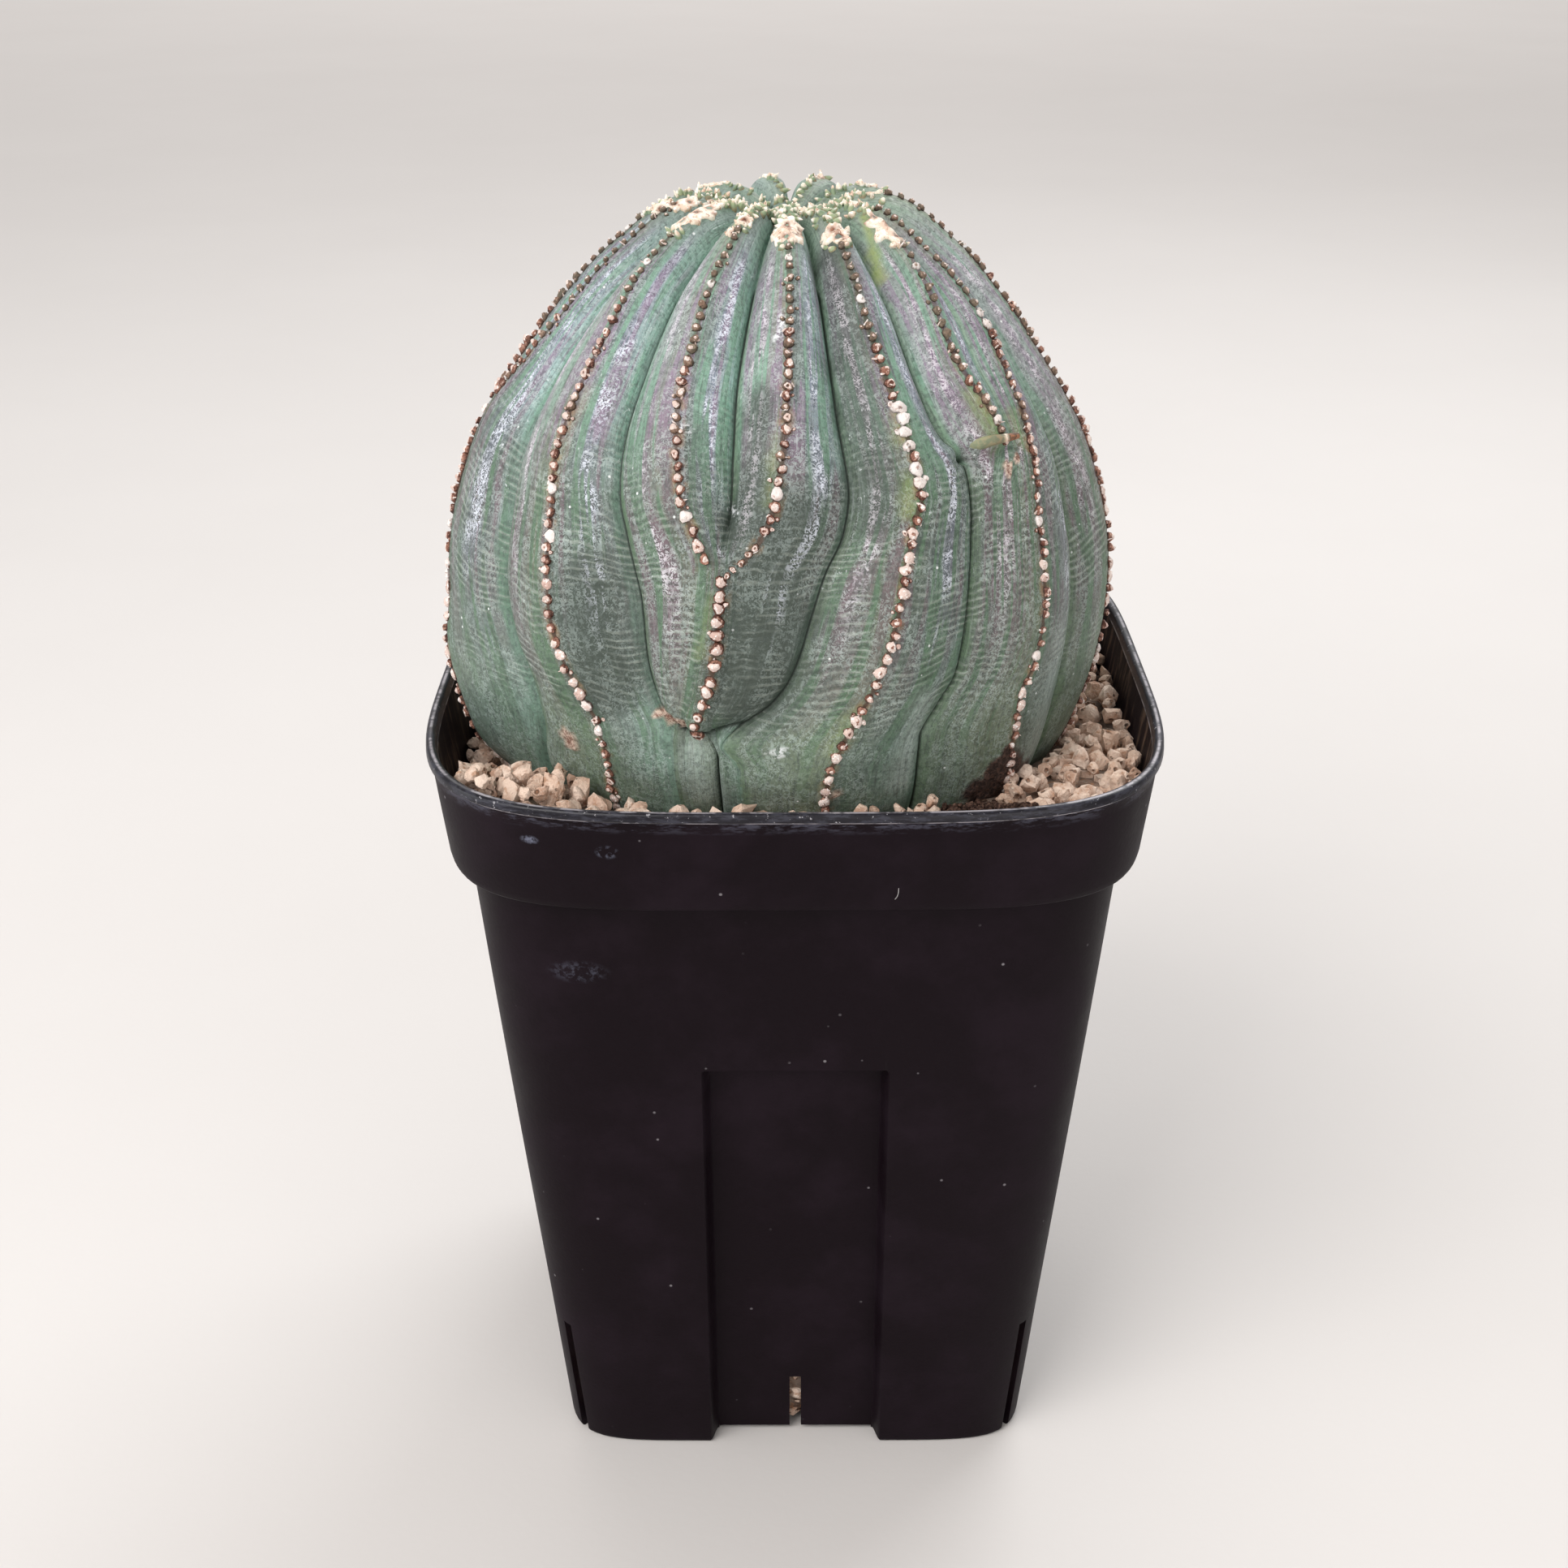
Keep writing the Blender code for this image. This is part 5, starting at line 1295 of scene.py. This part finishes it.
def build_crown(material):
    """Young tubercles and dry bracts crowded along the crests round the growing tip."""
    chance = random.Random(CROWN_SEED)
    heap = Heap()
    top_limit = cad_box[1][2] / MM - CROWN_CLEARANCE
    spots = [(chance.uniform(0.8, 7.0), chance.uniform(-180.0, 180.0)) for _ in range(TIP_BRACTS)]
    for name, first, _ in CHAINS:
        if first > 50:
            continue
        far = name in BACK_RIBS
        polar = 2.5
        while polar < first:
            spread = (24.0 if far and polar > 9 else 40.0) / max(4.0, reach_of(polar))
            spots.append((polar, float(line_azimuth(name, polar)) + spread * chance.gauss(0.0, 1.0)))
            polar += chance.uniform(0.16, 0.42) * (2.6 if far else 1.0)
    spots = [spot for spot in spots if scar_share(spot[1], spot[0]) > 0.95]
    polar = np.array([spot[0] for spot in spots])
    azimuth = np.array([spot[1] for spot in spots])
    at, out, down = frames_on_skin(polar, azimuth)
    side = np.cross(out, down)
    for i in range(len(spots)):
        height = chance.uniform(0.5, 1.15)
        shape, faces = pointed_cone(chance.uniform(0.32, 0.68), height, 7, chance.uniform(-0.4, 0.4))
        axis = out[i] + chance.uniform(-0.6, 0.6) * down[i] + chance.uniform(-0.6, 0.6) * side[i]
        axis[2] = max(axis[2], 0.3)
        placed = stand(shape, at[i], axis, down[i])
        over = placed[:, 2].max() - top_limit
        if over > 0:
            placed[:, 2] -= over
        share = shape[:, 2] / height
        dry = chance.random()
        start = 0.0 if dry > 0.75 else (0.35 if dry > 0.35 else 0.7)
        heap.add(placed, faces, paper=np.clip((share - start) / 0.3, 0, 1),
                 brown=np.clip((0.2 - share) / 0.3, 0, 1) * (dry < 0.5) * 0.6)
    return heap.build("crown_bracts", material)


# Polar angle, azimuth and height over the crest radius along the horn, with its radii.
HORN_POINTS = [
    (53.2, 40.0, -2.2), (53.8, 42.0, -0.8), (54.2, 44.0, 0.3), (54.6, 46.2, 1.0), (54.9, 48.4, 1.5),
]
HORN_RADII = [1.0, 0.9, 0.7, 0.55, 0.4]
HORN_RINGS = 15
HORN_SIDES = 14


def tube(points, radii, sides, tip=0.5):
    """A tapered tube along points, closed by a rounded tip."""
    points = np.asarray(points, float)
    along = np.gradient(points, axis=0)
    along /= np.linalg.norm(along, axis=1)[:, None]
    up = np.array([0.0, 0.0, 1.0])
    rings = []
    for p, a, r in zip(points, along, radii):
        u = unit(np.cross(a, up))
        v = np.cross(u, a)
        turn = np.linspace(0, 2 * math.pi, sides, endpoint=False)
        rings.append(p + r * (np.cos(turn)[:, None] * u + np.sin(turn)[:, None] * v))
    rings.append(points[-1] + along[-1] * radii[-1] * tip * 0.7 + (rings[-1] - points[-1]) * 0.7)
    tops = np.array([points[-1] + along[-1] * radii[-1] * tip])
    return np.concatenate(rings + [tops]), cone_faces(len(rings), sides)


def build_horn(material):
    """The bare end of the short rib, standing off the side of its neighbour."""
    spine = []
    radii = []
    for t in np.linspace(0.0, len(HORN_POINTS) - 1.0, HORN_RINGS):
        i = min(int(t), len(HORN_POINTS) - 2)
        f = t - i
        polar, azimuth, lift = np.array(HORN_POINTS[i]) * (1 - f) + np.array(HORN_POINTS[i + 1]) * f
        base = place_on_plant(polar, azimuth, float(curve(CREST_RADIUS, polar)) + lift - 0.4)
        spine.append(base)
        radii.append(HORN_RADII[i] * (1 - f) + HORN_RADII[i + 1] * f)
    points, faces = tube(spine, radii, HORN_SIDES, 0.8)
    share = np.append(np.repeat(np.linspace(0, 1, HORN_RINGS + 1), HORN_SIDES), 1.0)
    x, y, z = points.T
    wobble = noise_at(x, y, z, 1.5, 51)
    points = points + 0.12 * wobble[:, None] * (points - np.mean(points, axis=0)) / 3.0
    ring = np.maximum(np.exp(-((share - 0.66) / 0.035) ** 2), 0.7 * smooth((share - 0.93) / 0.05))
    brown = np.where(share > 0.66, 0.9, 0.15 + 0.55 * share) * (1 - ring)
    return make_mesh("rib_horn", points, faces, material, {"paper": ring, "brown": brown})


# ---------------------------------------------------------------- potting mix

# Layers of grains: seed, tries, largest and smallest radius, spacing, depth under the surface.
TOP_LAYER = (101, 26000, 2.0, 0.95, 0.84, 0.2)
UNDER_LAYER = (103, 9000, 2.0, 1.3, 0.85, 2.4)
GRAIN_CELL = 5
GRAIN_SWELL = 1.12
SHARP_GRAIN = 32
# The heap of grains at the front left: its rise, and where it starts to the left and to the front.
HEAP_RISE = 3.6
HEAP_LEFT = 23.0
HEAP_FRONT = 27.0
# Grains keep out of the crumbs of mud: centre x and y, half widths.
MUD_BED = (26.0, -42.5, 6.2, 8.5)
CRUMB_SEED = 111
CRUMBS = 520
CRUMB_RADII = (0.28, 0.75)
# Grains behind the slits: seed, gap from the wall's inside, radii, and each slit's turn, top and start.
SLIT_SEED = 71
SLIT_GAP = 1.15
SLIT_RADII = (1.25, 1.6)
SLIT_COLUMNS = ((45, 23.0, 4.0), (0, 12.0, 2.9))


def soil_height(x, y):
    """Level of the mix, higher at the front and the right."""
    front = SOIL_FRONT_RISE * smooth((-y - SOIL_RISE_START) / SOIL_RISE_LENGTH)
    right = SOIL_RIGHT_RISE * smooth((x - 22.0) / 18.0) * smooth((y + 42.0) / 22.0)
    left = SOIL_LEFT_DROP * smooth((-x - 25.0) / 15.0) * smooth((y + 30.0) / 18.0)
    return SOIL_LEVEL + front + right - left


def collar_half(z):
    share = (z - POT_HEIGHT + COLLAR_HEIGHT) / COLLAR_HEIGHT
    return COLLAR_FOOT_HALF + (RIM_HALF - LIP_STANDOFF - COLLAR_FOOT_HALF) * share


def body_half(z):
    return BASE_HALF + (BODY_TOP_HALF - BASE_HALF) * z / POT_HEIGHT


def body_power(z):
    return BASE_POWER + (BODY_TOP_POWER - BASE_POWER) * z / POT_HEIGHT


def square_reach(angle, half, power):
    """Distance from the middle to the edge of a rounded square."""
    return half / (abs(math.cos(angle)) ** power + abs(math.sin(angle)) ** power) ** (1.0 / power)


LOW_POLAR = np.linspace(88.0, 180.0, 400)
LOW_Z = PLANT_CENTRE_Z + curve(CREST_RADIUS, LOW_POLAR) * np.cos(np.radians(LOW_POLAR))
LOW_REACH = curve(CREST_RADIUS, LOW_POLAR) * np.sin(np.radians(LOW_POLAR))


def plant_reach(z):
    """Radius of the plant's lower half at a height."""
    return float(np.interp(z, LOW_Z[::-1], LOW_REACH[::-1]))


def rock_template(levels):
    bm = bmesh.new()
    bmesh.ops.create_icosphere(bm, subdivisions=levels, radius=1.0)
    points = np.array([v.co[:] for v in bm.verts])
    faces = [tuple(v.index for v in f.verts) for f in bm.faces]
    bm.free()
    return points, faces


def make_rock(points, rng, seed):
    """An angular but worn grain: a ball cut by flat planes, then roughened."""
    rock = points * rng.uniform(0.9, 1.15, 3)
    rock = rock * np.array([1.0, rng.uniform(0.74, 1.0), rng.uniform(0.66, 0.92)])
    for _ in range(8):
        normal = rng.normal(size=3)
        normal /= np.linalg.norm(normal)
        over = np.maximum(0.0, rock @ normal - rng.uniform(0.42, 0.74))
        rock = rock - (over * 0.92)[:, None] * normal
    x, y, z = (rock * 2.0).T
    shift = seed * 11.0
    rough = 0.26 * noise_at(x + shift, y, z, 1.1, 61) + 0.13 * noise_at(x, y + shift, z, 0.5, 62)
    rock = rock * (1.0 + rough)[:, None]
    turn, _ = np.linalg.qr(rng.normal(size=(3, 3)))
    return rock @ turn.T


def mud_share(x, y):
    """Under 1 over the patch of mud."""
    return math.hypot((x - MUD_BED[0]) / MUD_BED[2], (y - MUD_BED[1]) / MUD_BED[3])


def room_at(x, y, z):
    """Distances from the inside of the collar and from the plant's axis."""
    wall = square_reach(math.atan2(y, x), collar_half(z) - WALL, RIM_POWER) - math.hypot(x, y)
    return wall, math.hypot((x - PLANT_X) / PLANT_BREADTH, y - PLANT_Y)


def crumb_spots():
    """Small crumbs of mud heaped between the plant and the front wall."""
    chance = random.Random(CRUMB_SEED)
    spots = []
    while len(spots) < CRUMBS:
        x = MUD_BED[0] + chance.uniform(-1.0, 1.0) * MUD_BED[2]
        y = MUD_BED[1] + chance.uniform(-1.0, 1.0) * MUD_BED[3]
        z = 112.6 + 5.2 * float(smooth((-y - 35.0) / 13.0)) + chance.uniform(-0.8, 0.6)
        wall, away = room_at(x, y, z)
        if mud_share(x, y) < 1.08 and wall > 0.5 and away > plant_reach(z) - 0.6:
            spots.append((x, y, z, chance.uniform(*CRUMB_RADII)))
    return spots


def scatter(seed, tries, largest, smallest, spacing, drop):
    """Grain centres over the mouth of the pot, clear of the wall and of the plant."""
    chance = random.Random(seed)
    placed = []
    cells = {}
    for _ in range(tries):
        x = chance.uniform(-RIM_HALF, RIM_HALF)
        y = chance.uniform(-RIM_HALF, RIM_HALF)
        z = float(soil_height(x, y)) - drop
        z += HEAP_RISE * float(smooth((-x - HEAP_LEFT) / 11.0) * smooth((-y - HEAP_FRONT) / 12.0))
        wall, away = room_at(x, y, z)
        beside = away - plant_reach(z + 0.8) + 0.35
        radius = min(wall * 0.95, beside, largest * chance.uniform(0.5, 1.0) ** 0.8)
        if radius < smallest or mud_share(x, y) < 1.0:
            continue
        column, row = int(x // GRAIN_CELL), int(y // GRAIN_CELL)
        near = []
        for i in (-1, 0, 1):
            for j in (-1, 0, 1):
                near += cells.get((column + i, row + j), [])
        if all(math.hypot(x - px, y - py) > spacing * (radius + pr) for px, py, _, pr in near):
            spot = (x, y, z + chance.uniform(-0.35, 0.75) * radius, radius)
            cells.setdefault((column, row), []).append(spot)
            placed.append(spot)
    return placed


def build_grains(name, material, spots, levels, seed):
    template, faces = rock_template(levels)
    rng = np.random.default_rng(seed)
    heap = Heap()
    for i, (x, y, z, radius) in enumerate(spots):
        rock = make_rock(template, rng, i) * radius * GRAIN_SWELL + np.array([x, y, z])
        heap.add(rock, faces, tone=float(rng.random()))
    return heap.build(name, material, SHARP_GRAIN)


def slit_spots():
    """Grains pressed against the pot's wall behind each slit."""
    chance = random.Random(SLIT_SEED)
    spots = []
    for quarter in range(4):
        for at, top, start in SLIT_COLUMNS:
            turn = math.radians(at + 90 * quarter)
            z = start
            while z < top:
                if at:
                    reach = square_reach(turn, body_half(z) - WALL, body_power(z)) - SLIT_GAP
                else:
                    reach = body_half(z) - PANEL_DEPTH - WALL - SLIT_GAP
                side = chance.uniform(-0.5, 0.5)
                x = reach * math.cos(turn) - side * math.sin(turn)
                y = reach * math.sin(turn) + side * math.cos(turn)
                spots.append((x, y, z, chance.uniform(*SLIT_RADII)))
                z += chance.uniform(1.5, 2.1)
    return spots


# ---------------------------------------------------------------- pot

CORNER_STEPS = 18
SIDE_POINTS = (0.0, 3.0, 6.0, 9.0, 11.4)
# Angle of a sharp edge, and the rounding of the foot and of the lip.
SHARP_POT = 40
FOOT_ROUND = 0.85
LIP_ROUND = 0.62
# Boxes cut out of the walls: turn, width, reach from and to, top.
SLITS = (
    (45, 1.6, 38.0, 56.0, 23.0), (0, 1.8, 27.0, 40.0, 11.7),
    (0, 2.0 * (PANEL_HALF - PANEL_SLOPE), BASE_HALF - PANEL_DEPTH - 4.0, BASE_HALF + 4.0, FOOT_ARCH),
)


def fine_ring(half, power, recess, panel_half):
    """A rounded square with S-curved edges to the set-back middle panels."""
    across = list(SIDE_POINTS)
    across += [panel_half - PANEL_SLOPE + PANEL_SLOPE * i / 6.0 for i in range(7)]
    side = []
    for a in across:
        depth = half * (1.0 - (a / half) ** power) ** (1.0 / power)
        side.append((depth - recess * float(smooth((panel_half - a) / PANEL_SLOPE)), a))
    start = math.atan2(side[-1][1], side[-1][0])
    for step in range(1, CORNER_STEPS + 1):
        angle = start + (math.pi / 4.0 - start) * step / CORNER_STEPS
        reach = square_reach(angle, half, power)
        side.append((reach * math.cos(angle), reach * math.sin(angle)))
    whole = [(d, -a) for d, a in reversed(side[1:])] + side[:-1]
    ring = []
    for quarter in range(4):
        c = round(math.cos(quarter * math.pi / 2.0))
        s = round(math.sin(quarter * math.pi / 2.0))
        ring += [(d * c - a * s, d * s + a * c) for d, a in whole]
    return ring


def pot_profile():
    """Sections from the foot's inner edge, up the outside, over the lip and down the inside."""
    rows = []

    def body(z, inset, recess, inside=0.0):
        ring = fine_ring(body_half(z) - inset, body_power(z), recess, PANEL_HALF + inset)
        rows.append((ring, z, inside, 0.0))

    def collar(z, half, power, inside=0.0, lip=0.0):
        rows.append((fine_ring(half, power, 0.0, PANEL_HALF + WALL), z, inside, lip))

    foot = POT_HEIGHT - COLLAR_HEIGHT
    lip = POT_HEIGHT - LIP_HEIGHT
    body(BASE_PLATE_Z, FOOT_RIM + 0.1, PANEL_DEPTH)
    body(0.0, FOOT_RIM, PANEL_DEPTH)
    for t in (0.0, 0.25, 0.5, 0.75, 1.0):
        round_off = math.radians(90.0 * t)
        body(FOOT_ROUND * (1.0 - math.cos(round_off)), 0.5 * (1.0 - math.sin(round_off)), PANEL_DEPTH)
    for z in range(5, 75, 5):
        body(float(z), 0.0, PANEL_DEPTH)
    for t in np.linspace(0.0, 1.0, 7):
        body(PANEL_TOP - LEDGE_DROP + LEDGE_DROP * t, 0.0, PANEL_DEPTH * (1.0 - float(smooth(t))))
    for z in (78.0, 82.0, 87.0, 92.0, 97.0, 101.0, 103.2, 103.8):
        body(z, 0.0, 0.0)
    collar(foot + 0.02, body_half(foot) + 0.15, 5.6)
    collar(foot + 0.10, COLLAR_FOOT_HALF - 0.55, COLLAR_POWER)
    collar(foot + 0.25, COLLAR_FOOT_HALF - 0.18, COLLAR_POWER)
    collar(foot + 0.55, COLLAR_FOOT_HALF - 0.02, COLLAR_POWER)
    for t in np.linspace(0.06, 1.0, 8):
        z = foot + 0.55 + (lip - foot - 0.55) * t
        collar(z, collar_half(z), COLLAR_POWER + (RIM_POWER - COLLAR_POWER) * t, 0.0, float(t > 0.995))
    for t in np.linspace(0.0, 1.0, 7)[1:]:
        round_off = math.radians(90.0 * t)
        half = RIM_HALF - LIP_STANDOFF * math.cos(round_off)
        collar(lip + 0.45 * math.sin(round_off) * 0.9, half, RIM_POWER, 0.0, 1.0)
    for t in np.linspace(0.0, 1.0, 9)[1:]:
        round_off = math.radians(180.0 * t)
        z = POT_HEIGHT - LIP_ROUND + LIP_ROUND * math.sin(round_off)
        half = RIM_HALF - LIP_ROUND + LIP_ROUND * math.cos(round_off) - 0.1 * t
        collar(z, half, RIM_POWER, float(t > 0.8), 1.0)
    for z in (118.4, 117.0, 115.0, 112.0, 109.0, foot + 2.6, foot + 1.9):
        t = (z - foot) / COLLAR_HEIGHT
        collar(z, collar_half(z) - WALL, COLLAR_POWER + (RIM_POWER - COLLAR_POWER) * t, 1.0)
    body(foot + 0.9, WALL, 0.0, 1.0)
    for z in (98.0, 90.0, 83.0, PANEL_TOP + WALL):
        body(z, WALL, 0.0, 1.0)
    body(PANEL_TOP + WALL - LEDGE_DROP, WALL, PANEL_DEPTH, 1.0)
    for z in (60.0, 45.0, 30.0, 15.0, BASE_PLATE_Z + BASE_PLATE_THICKNESS):
        body(z, WALL, PANEL_DEPTH, 1.0)
    return rows


def slit_box(turn, width, near, far, top):
    """A cutter from just under the ground up to the top of a slit."""
    bm = bmesh.new()
    bmesh.ops.create_cube(bm, size=1.0)
    size = Vector((far - near, width, top + 2.0)) * MM
    middle = Vector(((near + far) / 2.0, 0.0, top / 2.0 - 1.0)) * MM
    bmesh.ops.scale(bm, verts=bm.verts, vec=size)
    bmesh.ops.translate(bm, verts=bm.verts, vec=middle)
    bmesh.ops.rotate(bm, verts=bm.verts, matrix=Matrix.Rotation(math.radians(turn), 3, "Z"))
    mesh = bpy.data.meshes.new("slit_box")
    bm.to_mesh(mesh)
    bm.free()
    return bpy.data.objects.new("slit_box", mesh)


def cut_slits(pot):
    """Cut every slit out of the pot in one step, then drop the cutters."""
    cutters = bpy.data.collections.new("slit_boxes")
    bpy.context.scene.collection.children.link(cutters)
    boxes = []
    for quarter in range(4):
        for turn, width, near, far, top in SLITS:
            box = slit_box(turn + 90 * quarter, width, near, far, top)
            cutters.objects.link(box)
            boxes.append(box)
    cut = pot.modifiers.new("slits", "BOOLEAN")
    cut.operation = "DIFFERENCE"
    cut.operand_type = "COLLECTION"
    cut.collection = cutters
    bpy.context.view_layer.update()
    depsgraph = bpy.context.evaluated_depsgraph_get()
    mesh = bpy.data.meshes.new_from_object(pot.evaluated_get(depsgraph))
    pot.modifiers.clear()
    pot.data = mesh
    for box in boxes:
        bpy.data.objects.remove(box, do_unlink=True)
    bpy.data.collections.remove(cutters)
    return mesh


def build_pot(material, edge_material):
    rows = pot_profile()
    points, inside, lip = [], [], []
    for ring, z, within, edge in rows:
        points += [(x, y, z) for x, y in ring]
        inside += [within] * len(ring)
        lip += [edge] * len(ring)
    points = np.array(points)
    x, y, z = points.T
    sag = 0.10 * noise_at(x, y, z, 26.0, 81) * smooth((z - 4.0) / 20.0) * smooth((118.0 - z) / 8.0)
    length = np.hypot(x, y)
    points[:, 0] += sag * x / length
    points[:, 1] += sag * y / length
    faces = capped_faces(len(rows), len(rows[0][0]))
    pot = make_mesh("pot_shell", points, faces, material, {"inside": inside, "lip": lip})
    mesh = cut_slits(pot)
    mesh.shade_smooth()
    mesh.set_sharp_from_angle(angle=math.radians(SHARP_POT))
    mesh.materials.append(edge_material)
    lip_foot = POT_HEIGHT - LIP_HEIGHT
    for polygon in mesh.polygons:
        lowest = min(mesh.vertices[i].co.z for i in polygon.vertices)
        if polygon.center.z > lip_foot * MM and lowest > (lip_foot - 0.01) * MM:
            polygon.material_index = 1
    return pot


def build_lint(material):
    """A few fibres caught on the front of the pot."""
    heap = Heap()
    for x, z, length, bend, lean in LINT:
        t = np.linspace(0.0, 1.0, 9)
        across = x + length * (lean * t + bend * np.sin(2.2 * t))
        forward = -collar_half(z) - 0.08 - 0.5 * np.sin(3.1 * t)
        spine = np.stack([across, forward, z + length * t * math.sqrt(1.0 - lean * lean)], axis=1)
        points, faces = tube(spine, np.full(9, 0.05), 6)
        heap.add(points, faces)
    return heap.build("lint", material)


# The bed of packed mix: gap from the wall, drop under the loose grains, radius and height of its hollow.
BED_GAP = 0.35
BED_DROP = 2.2
BED_HOLLOW = 20.0
BED_FLOOR = 100.0


def build_bed(material):
    """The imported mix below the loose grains, a little inside the pot, with the plant's hollow."""
    rows = []
    inset = WALL + BED_GAP

    def body(z, recess):
        ring = fine_ring(body_half(z) - inset, body_power(z), recess, PANEL_HALF + inset)
        rows.append([(x, y, z) for x, y in ring])

    for z in (2.9, 20.0, 40.0, 60.0, 74.9):
        body(z, PANEL_DEPTH)
    body(76.9, 0.0)
    body(103.0, 0.0)
    edge = []
    for x, y in fine_ring(RIM_HALF, RIM_POWER, 0.0, PANEL_HALF):
        z = float(soil_height(x, y)) - BED_DROP
        shrink = (collar_half(z) - inset) / RIM_HALF
        edge.append((x * shrink, y * shrink, z))
    rows.append(edge)
    for share in (0.5, 1.0):
        ring = []
        for x, y, z in edge:
            away = Vector((x - PLANT_X, y - PLANT_Y)).normalized() * (plant_reach(z) - 1.5)
            hx, hy = PLANT_X + PLANT_BREADTH * away.x, PLANT_Y + away.y
            px, py = x + (hx - x) * share, y + (hy - y) * share
            ring.append((px, py, z + float(soil_height(px, py) - soil_height(x, y)) * 0.8))
        rows.append(ring)
    floor = []
    for x, y, _ in edge:
        length = math.hypot(x - PLANT_X, y - PLANT_Y)
        floor.append((PLANT_X + BED_HOLLOW * (x - PLANT_X) / length,
                      PLANT_Y + BED_HOLLOW * (y - PLANT_Y) / length, BED_FLOOR))
    rows.append(floor)
    points = np.concatenate([np.array(ring) for ring in rows])
    x, y, z = points.T
    points[:, 2] += np.where(z > 104.0, 0.5 * noise_at(x, y, z, 3.0, 91), 0.0)
    faces = capped_faces(len(rows), len(edge))
    return make_mesh("mix_bed", points, faces, material, {"tone": np.full(len(points), 0.3)})


# ---------------------------------------------------------------- assembly

plant = build_skin(skin_material())
tubercles = build_tubercles(tubercle_material())
crust = crust_material()
scars = build_scars(crust)
crown = build_crown(crust)
horn = build_horn(crust)
for piece in (plant, tubercles, scars, crown, horn):
    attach(piece, "root")
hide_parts("plant")

clay = granule_material()
grains = build_grains("grains_top", clay, scatter(*TOP_LAYER), 2, 102)
under = build_grains("grains_under", clay, scatter(*UNDER_LAYER), 1, 104)
slit_grains = build_grains("grains_slits", clay, slit_spots(), 2, 105)
# The bed below the loose grains takes a darker copy of the grain clay: painted shade in the gaps between
# them.
bed = build_bed(granule_material("bed_clay_painted_shade", 0.4))
crumbs = build_grains("mud_crumbs", mud_material(), crumb_spots(), 1, 106)
for piece in (grains, under, slit_grains, bed, crumbs):
    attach(piece, "root")
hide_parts("potting_mix")

pot = build_pot(pot_material(), lip_material())
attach(pot, "root")
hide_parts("pot")
lint = build_lint(lint_material())
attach(lint, "root")


# Camera, fitted to the pot in the photo: focal length in frame widths, then degrees, then millimetres.
LENS = 2649.0 / 1932.0
SENSOR = 36.0
PITCH, YAW, ROLL = 25.75, -0.05, -0.15
CAMERA_PLACE = (-1.3, -301.0, 244.3)
# Lights: name, place, target, size, power, colour.
LIGHTS = [
    ("key", (-0.50, -0.62, 0.85), (0.0, 0.0, 0.14), (0.7, 0.7), 9.25, (1.0, 0.985, 0.97)),
    ("right", (0.75, -0.45, 0.75), (0.0, 0.0, 0.14), (0.7, 0.7), 0.5, (1.0, 0.98, 0.97)),
    ("rear", (0.35, 0.55, 0.80), (0.0, 0.0, 0.15), (0.6, 0.4), 4.1, (0.95, 0.98, 1.0)),
    ("front", (0.40, -0.90, 0.35), (0.0, 0.0, 0.1), (0.8, 0.5), 2.2, (1.0, 0.97, 0.95)),
    ("left", (-1.0, -0.1, 0.35), (0.0, 0.0, 0.14), (0.5, 0.5), 2.4, (0.94, 0.97, 1.0)),
    ("overhead", (0.0, 3.0, 2.2), (0.0, 3.001, 0.0), (3.0, 3.0), 54.0, (1.0, 0.99, 0.98)),
]
WORLD_COLOUR = (0.95, 0.93, 0.92, 1.0)
WORLD_STRENGTH = 0.50


def build_floor():
    """A pale ground, for the picture only."""
    bpy.ops.mesh.primitive_plane_add(size=9.0, location=(0.0, 1.5, 0.0))
    floor = bpy.context.object
    floor.name = "floor"
    floor.data.materials.append(floor_material())


def add_area(name, at, target, size, power, colour):
    light = bpy.data.lights.new(name, "AREA")
    light.shape = "RECTANGLE"
    light.size, light.size_y = size
    light.energy = power
    light.color = colour
    item = bpy.data.objects.new(name, light)
    item.location = at
    item.rotation_euler = (Vector(target) - Vector(at)).to_track_quat("-Z", "Y").to_euler()
    bpy.context.scene.collection.objects.link(item)


def add_camera():
    """The photo's view."""
    data = bpy.data.cameras.new("camera")
    data.sensor_width = SENSOR
    data.lens = LENS * SENSOR
    data.clip_start = 0.01
    item = bpy.data.objects.new("camera", data)
    pitch, yaw, roll = (math.radians(v) for v in (PITCH, YAW, ROLL))
    forward = Vector((math.sin(yaw) * math.cos(pitch), math.cos(yaw) * math.cos(pitch), -math.sin(pitch)))
    right = Vector((math.cos(yaw), -math.sin(yaw), 0.0))
    up = right.cross(forward)
    right, up = (right * math.cos(roll) + up * math.sin(roll), up * math.cos(roll) - right * math.sin(roll))
    matrix = Matrix((right, up, -forward)).transposed().to_4x4()
    matrix.translation = Vector(CAMERA_PLACE) * MM
    item.matrix_world = matrix
    bpy.context.scene.collection.objects.link(item)
    bpy.context.scene.camera = item


def add_world():
    world = bpy.data.worlds.new("studio")
    world.use_nodes = True
    background = world.node_tree.nodes["Background"]
    background.inputs["Color"].default_value = WORLD_COLOUR
    background.inputs["Strength"].default_value = WORLD_STRENGTH
    bpy.context.scene.world = world


build_floor()
add_camera()
add_world()
for light in LIGHTS:
    add_area(*light)
bpy.context.scene.view_settings.view_transform = "Standard"

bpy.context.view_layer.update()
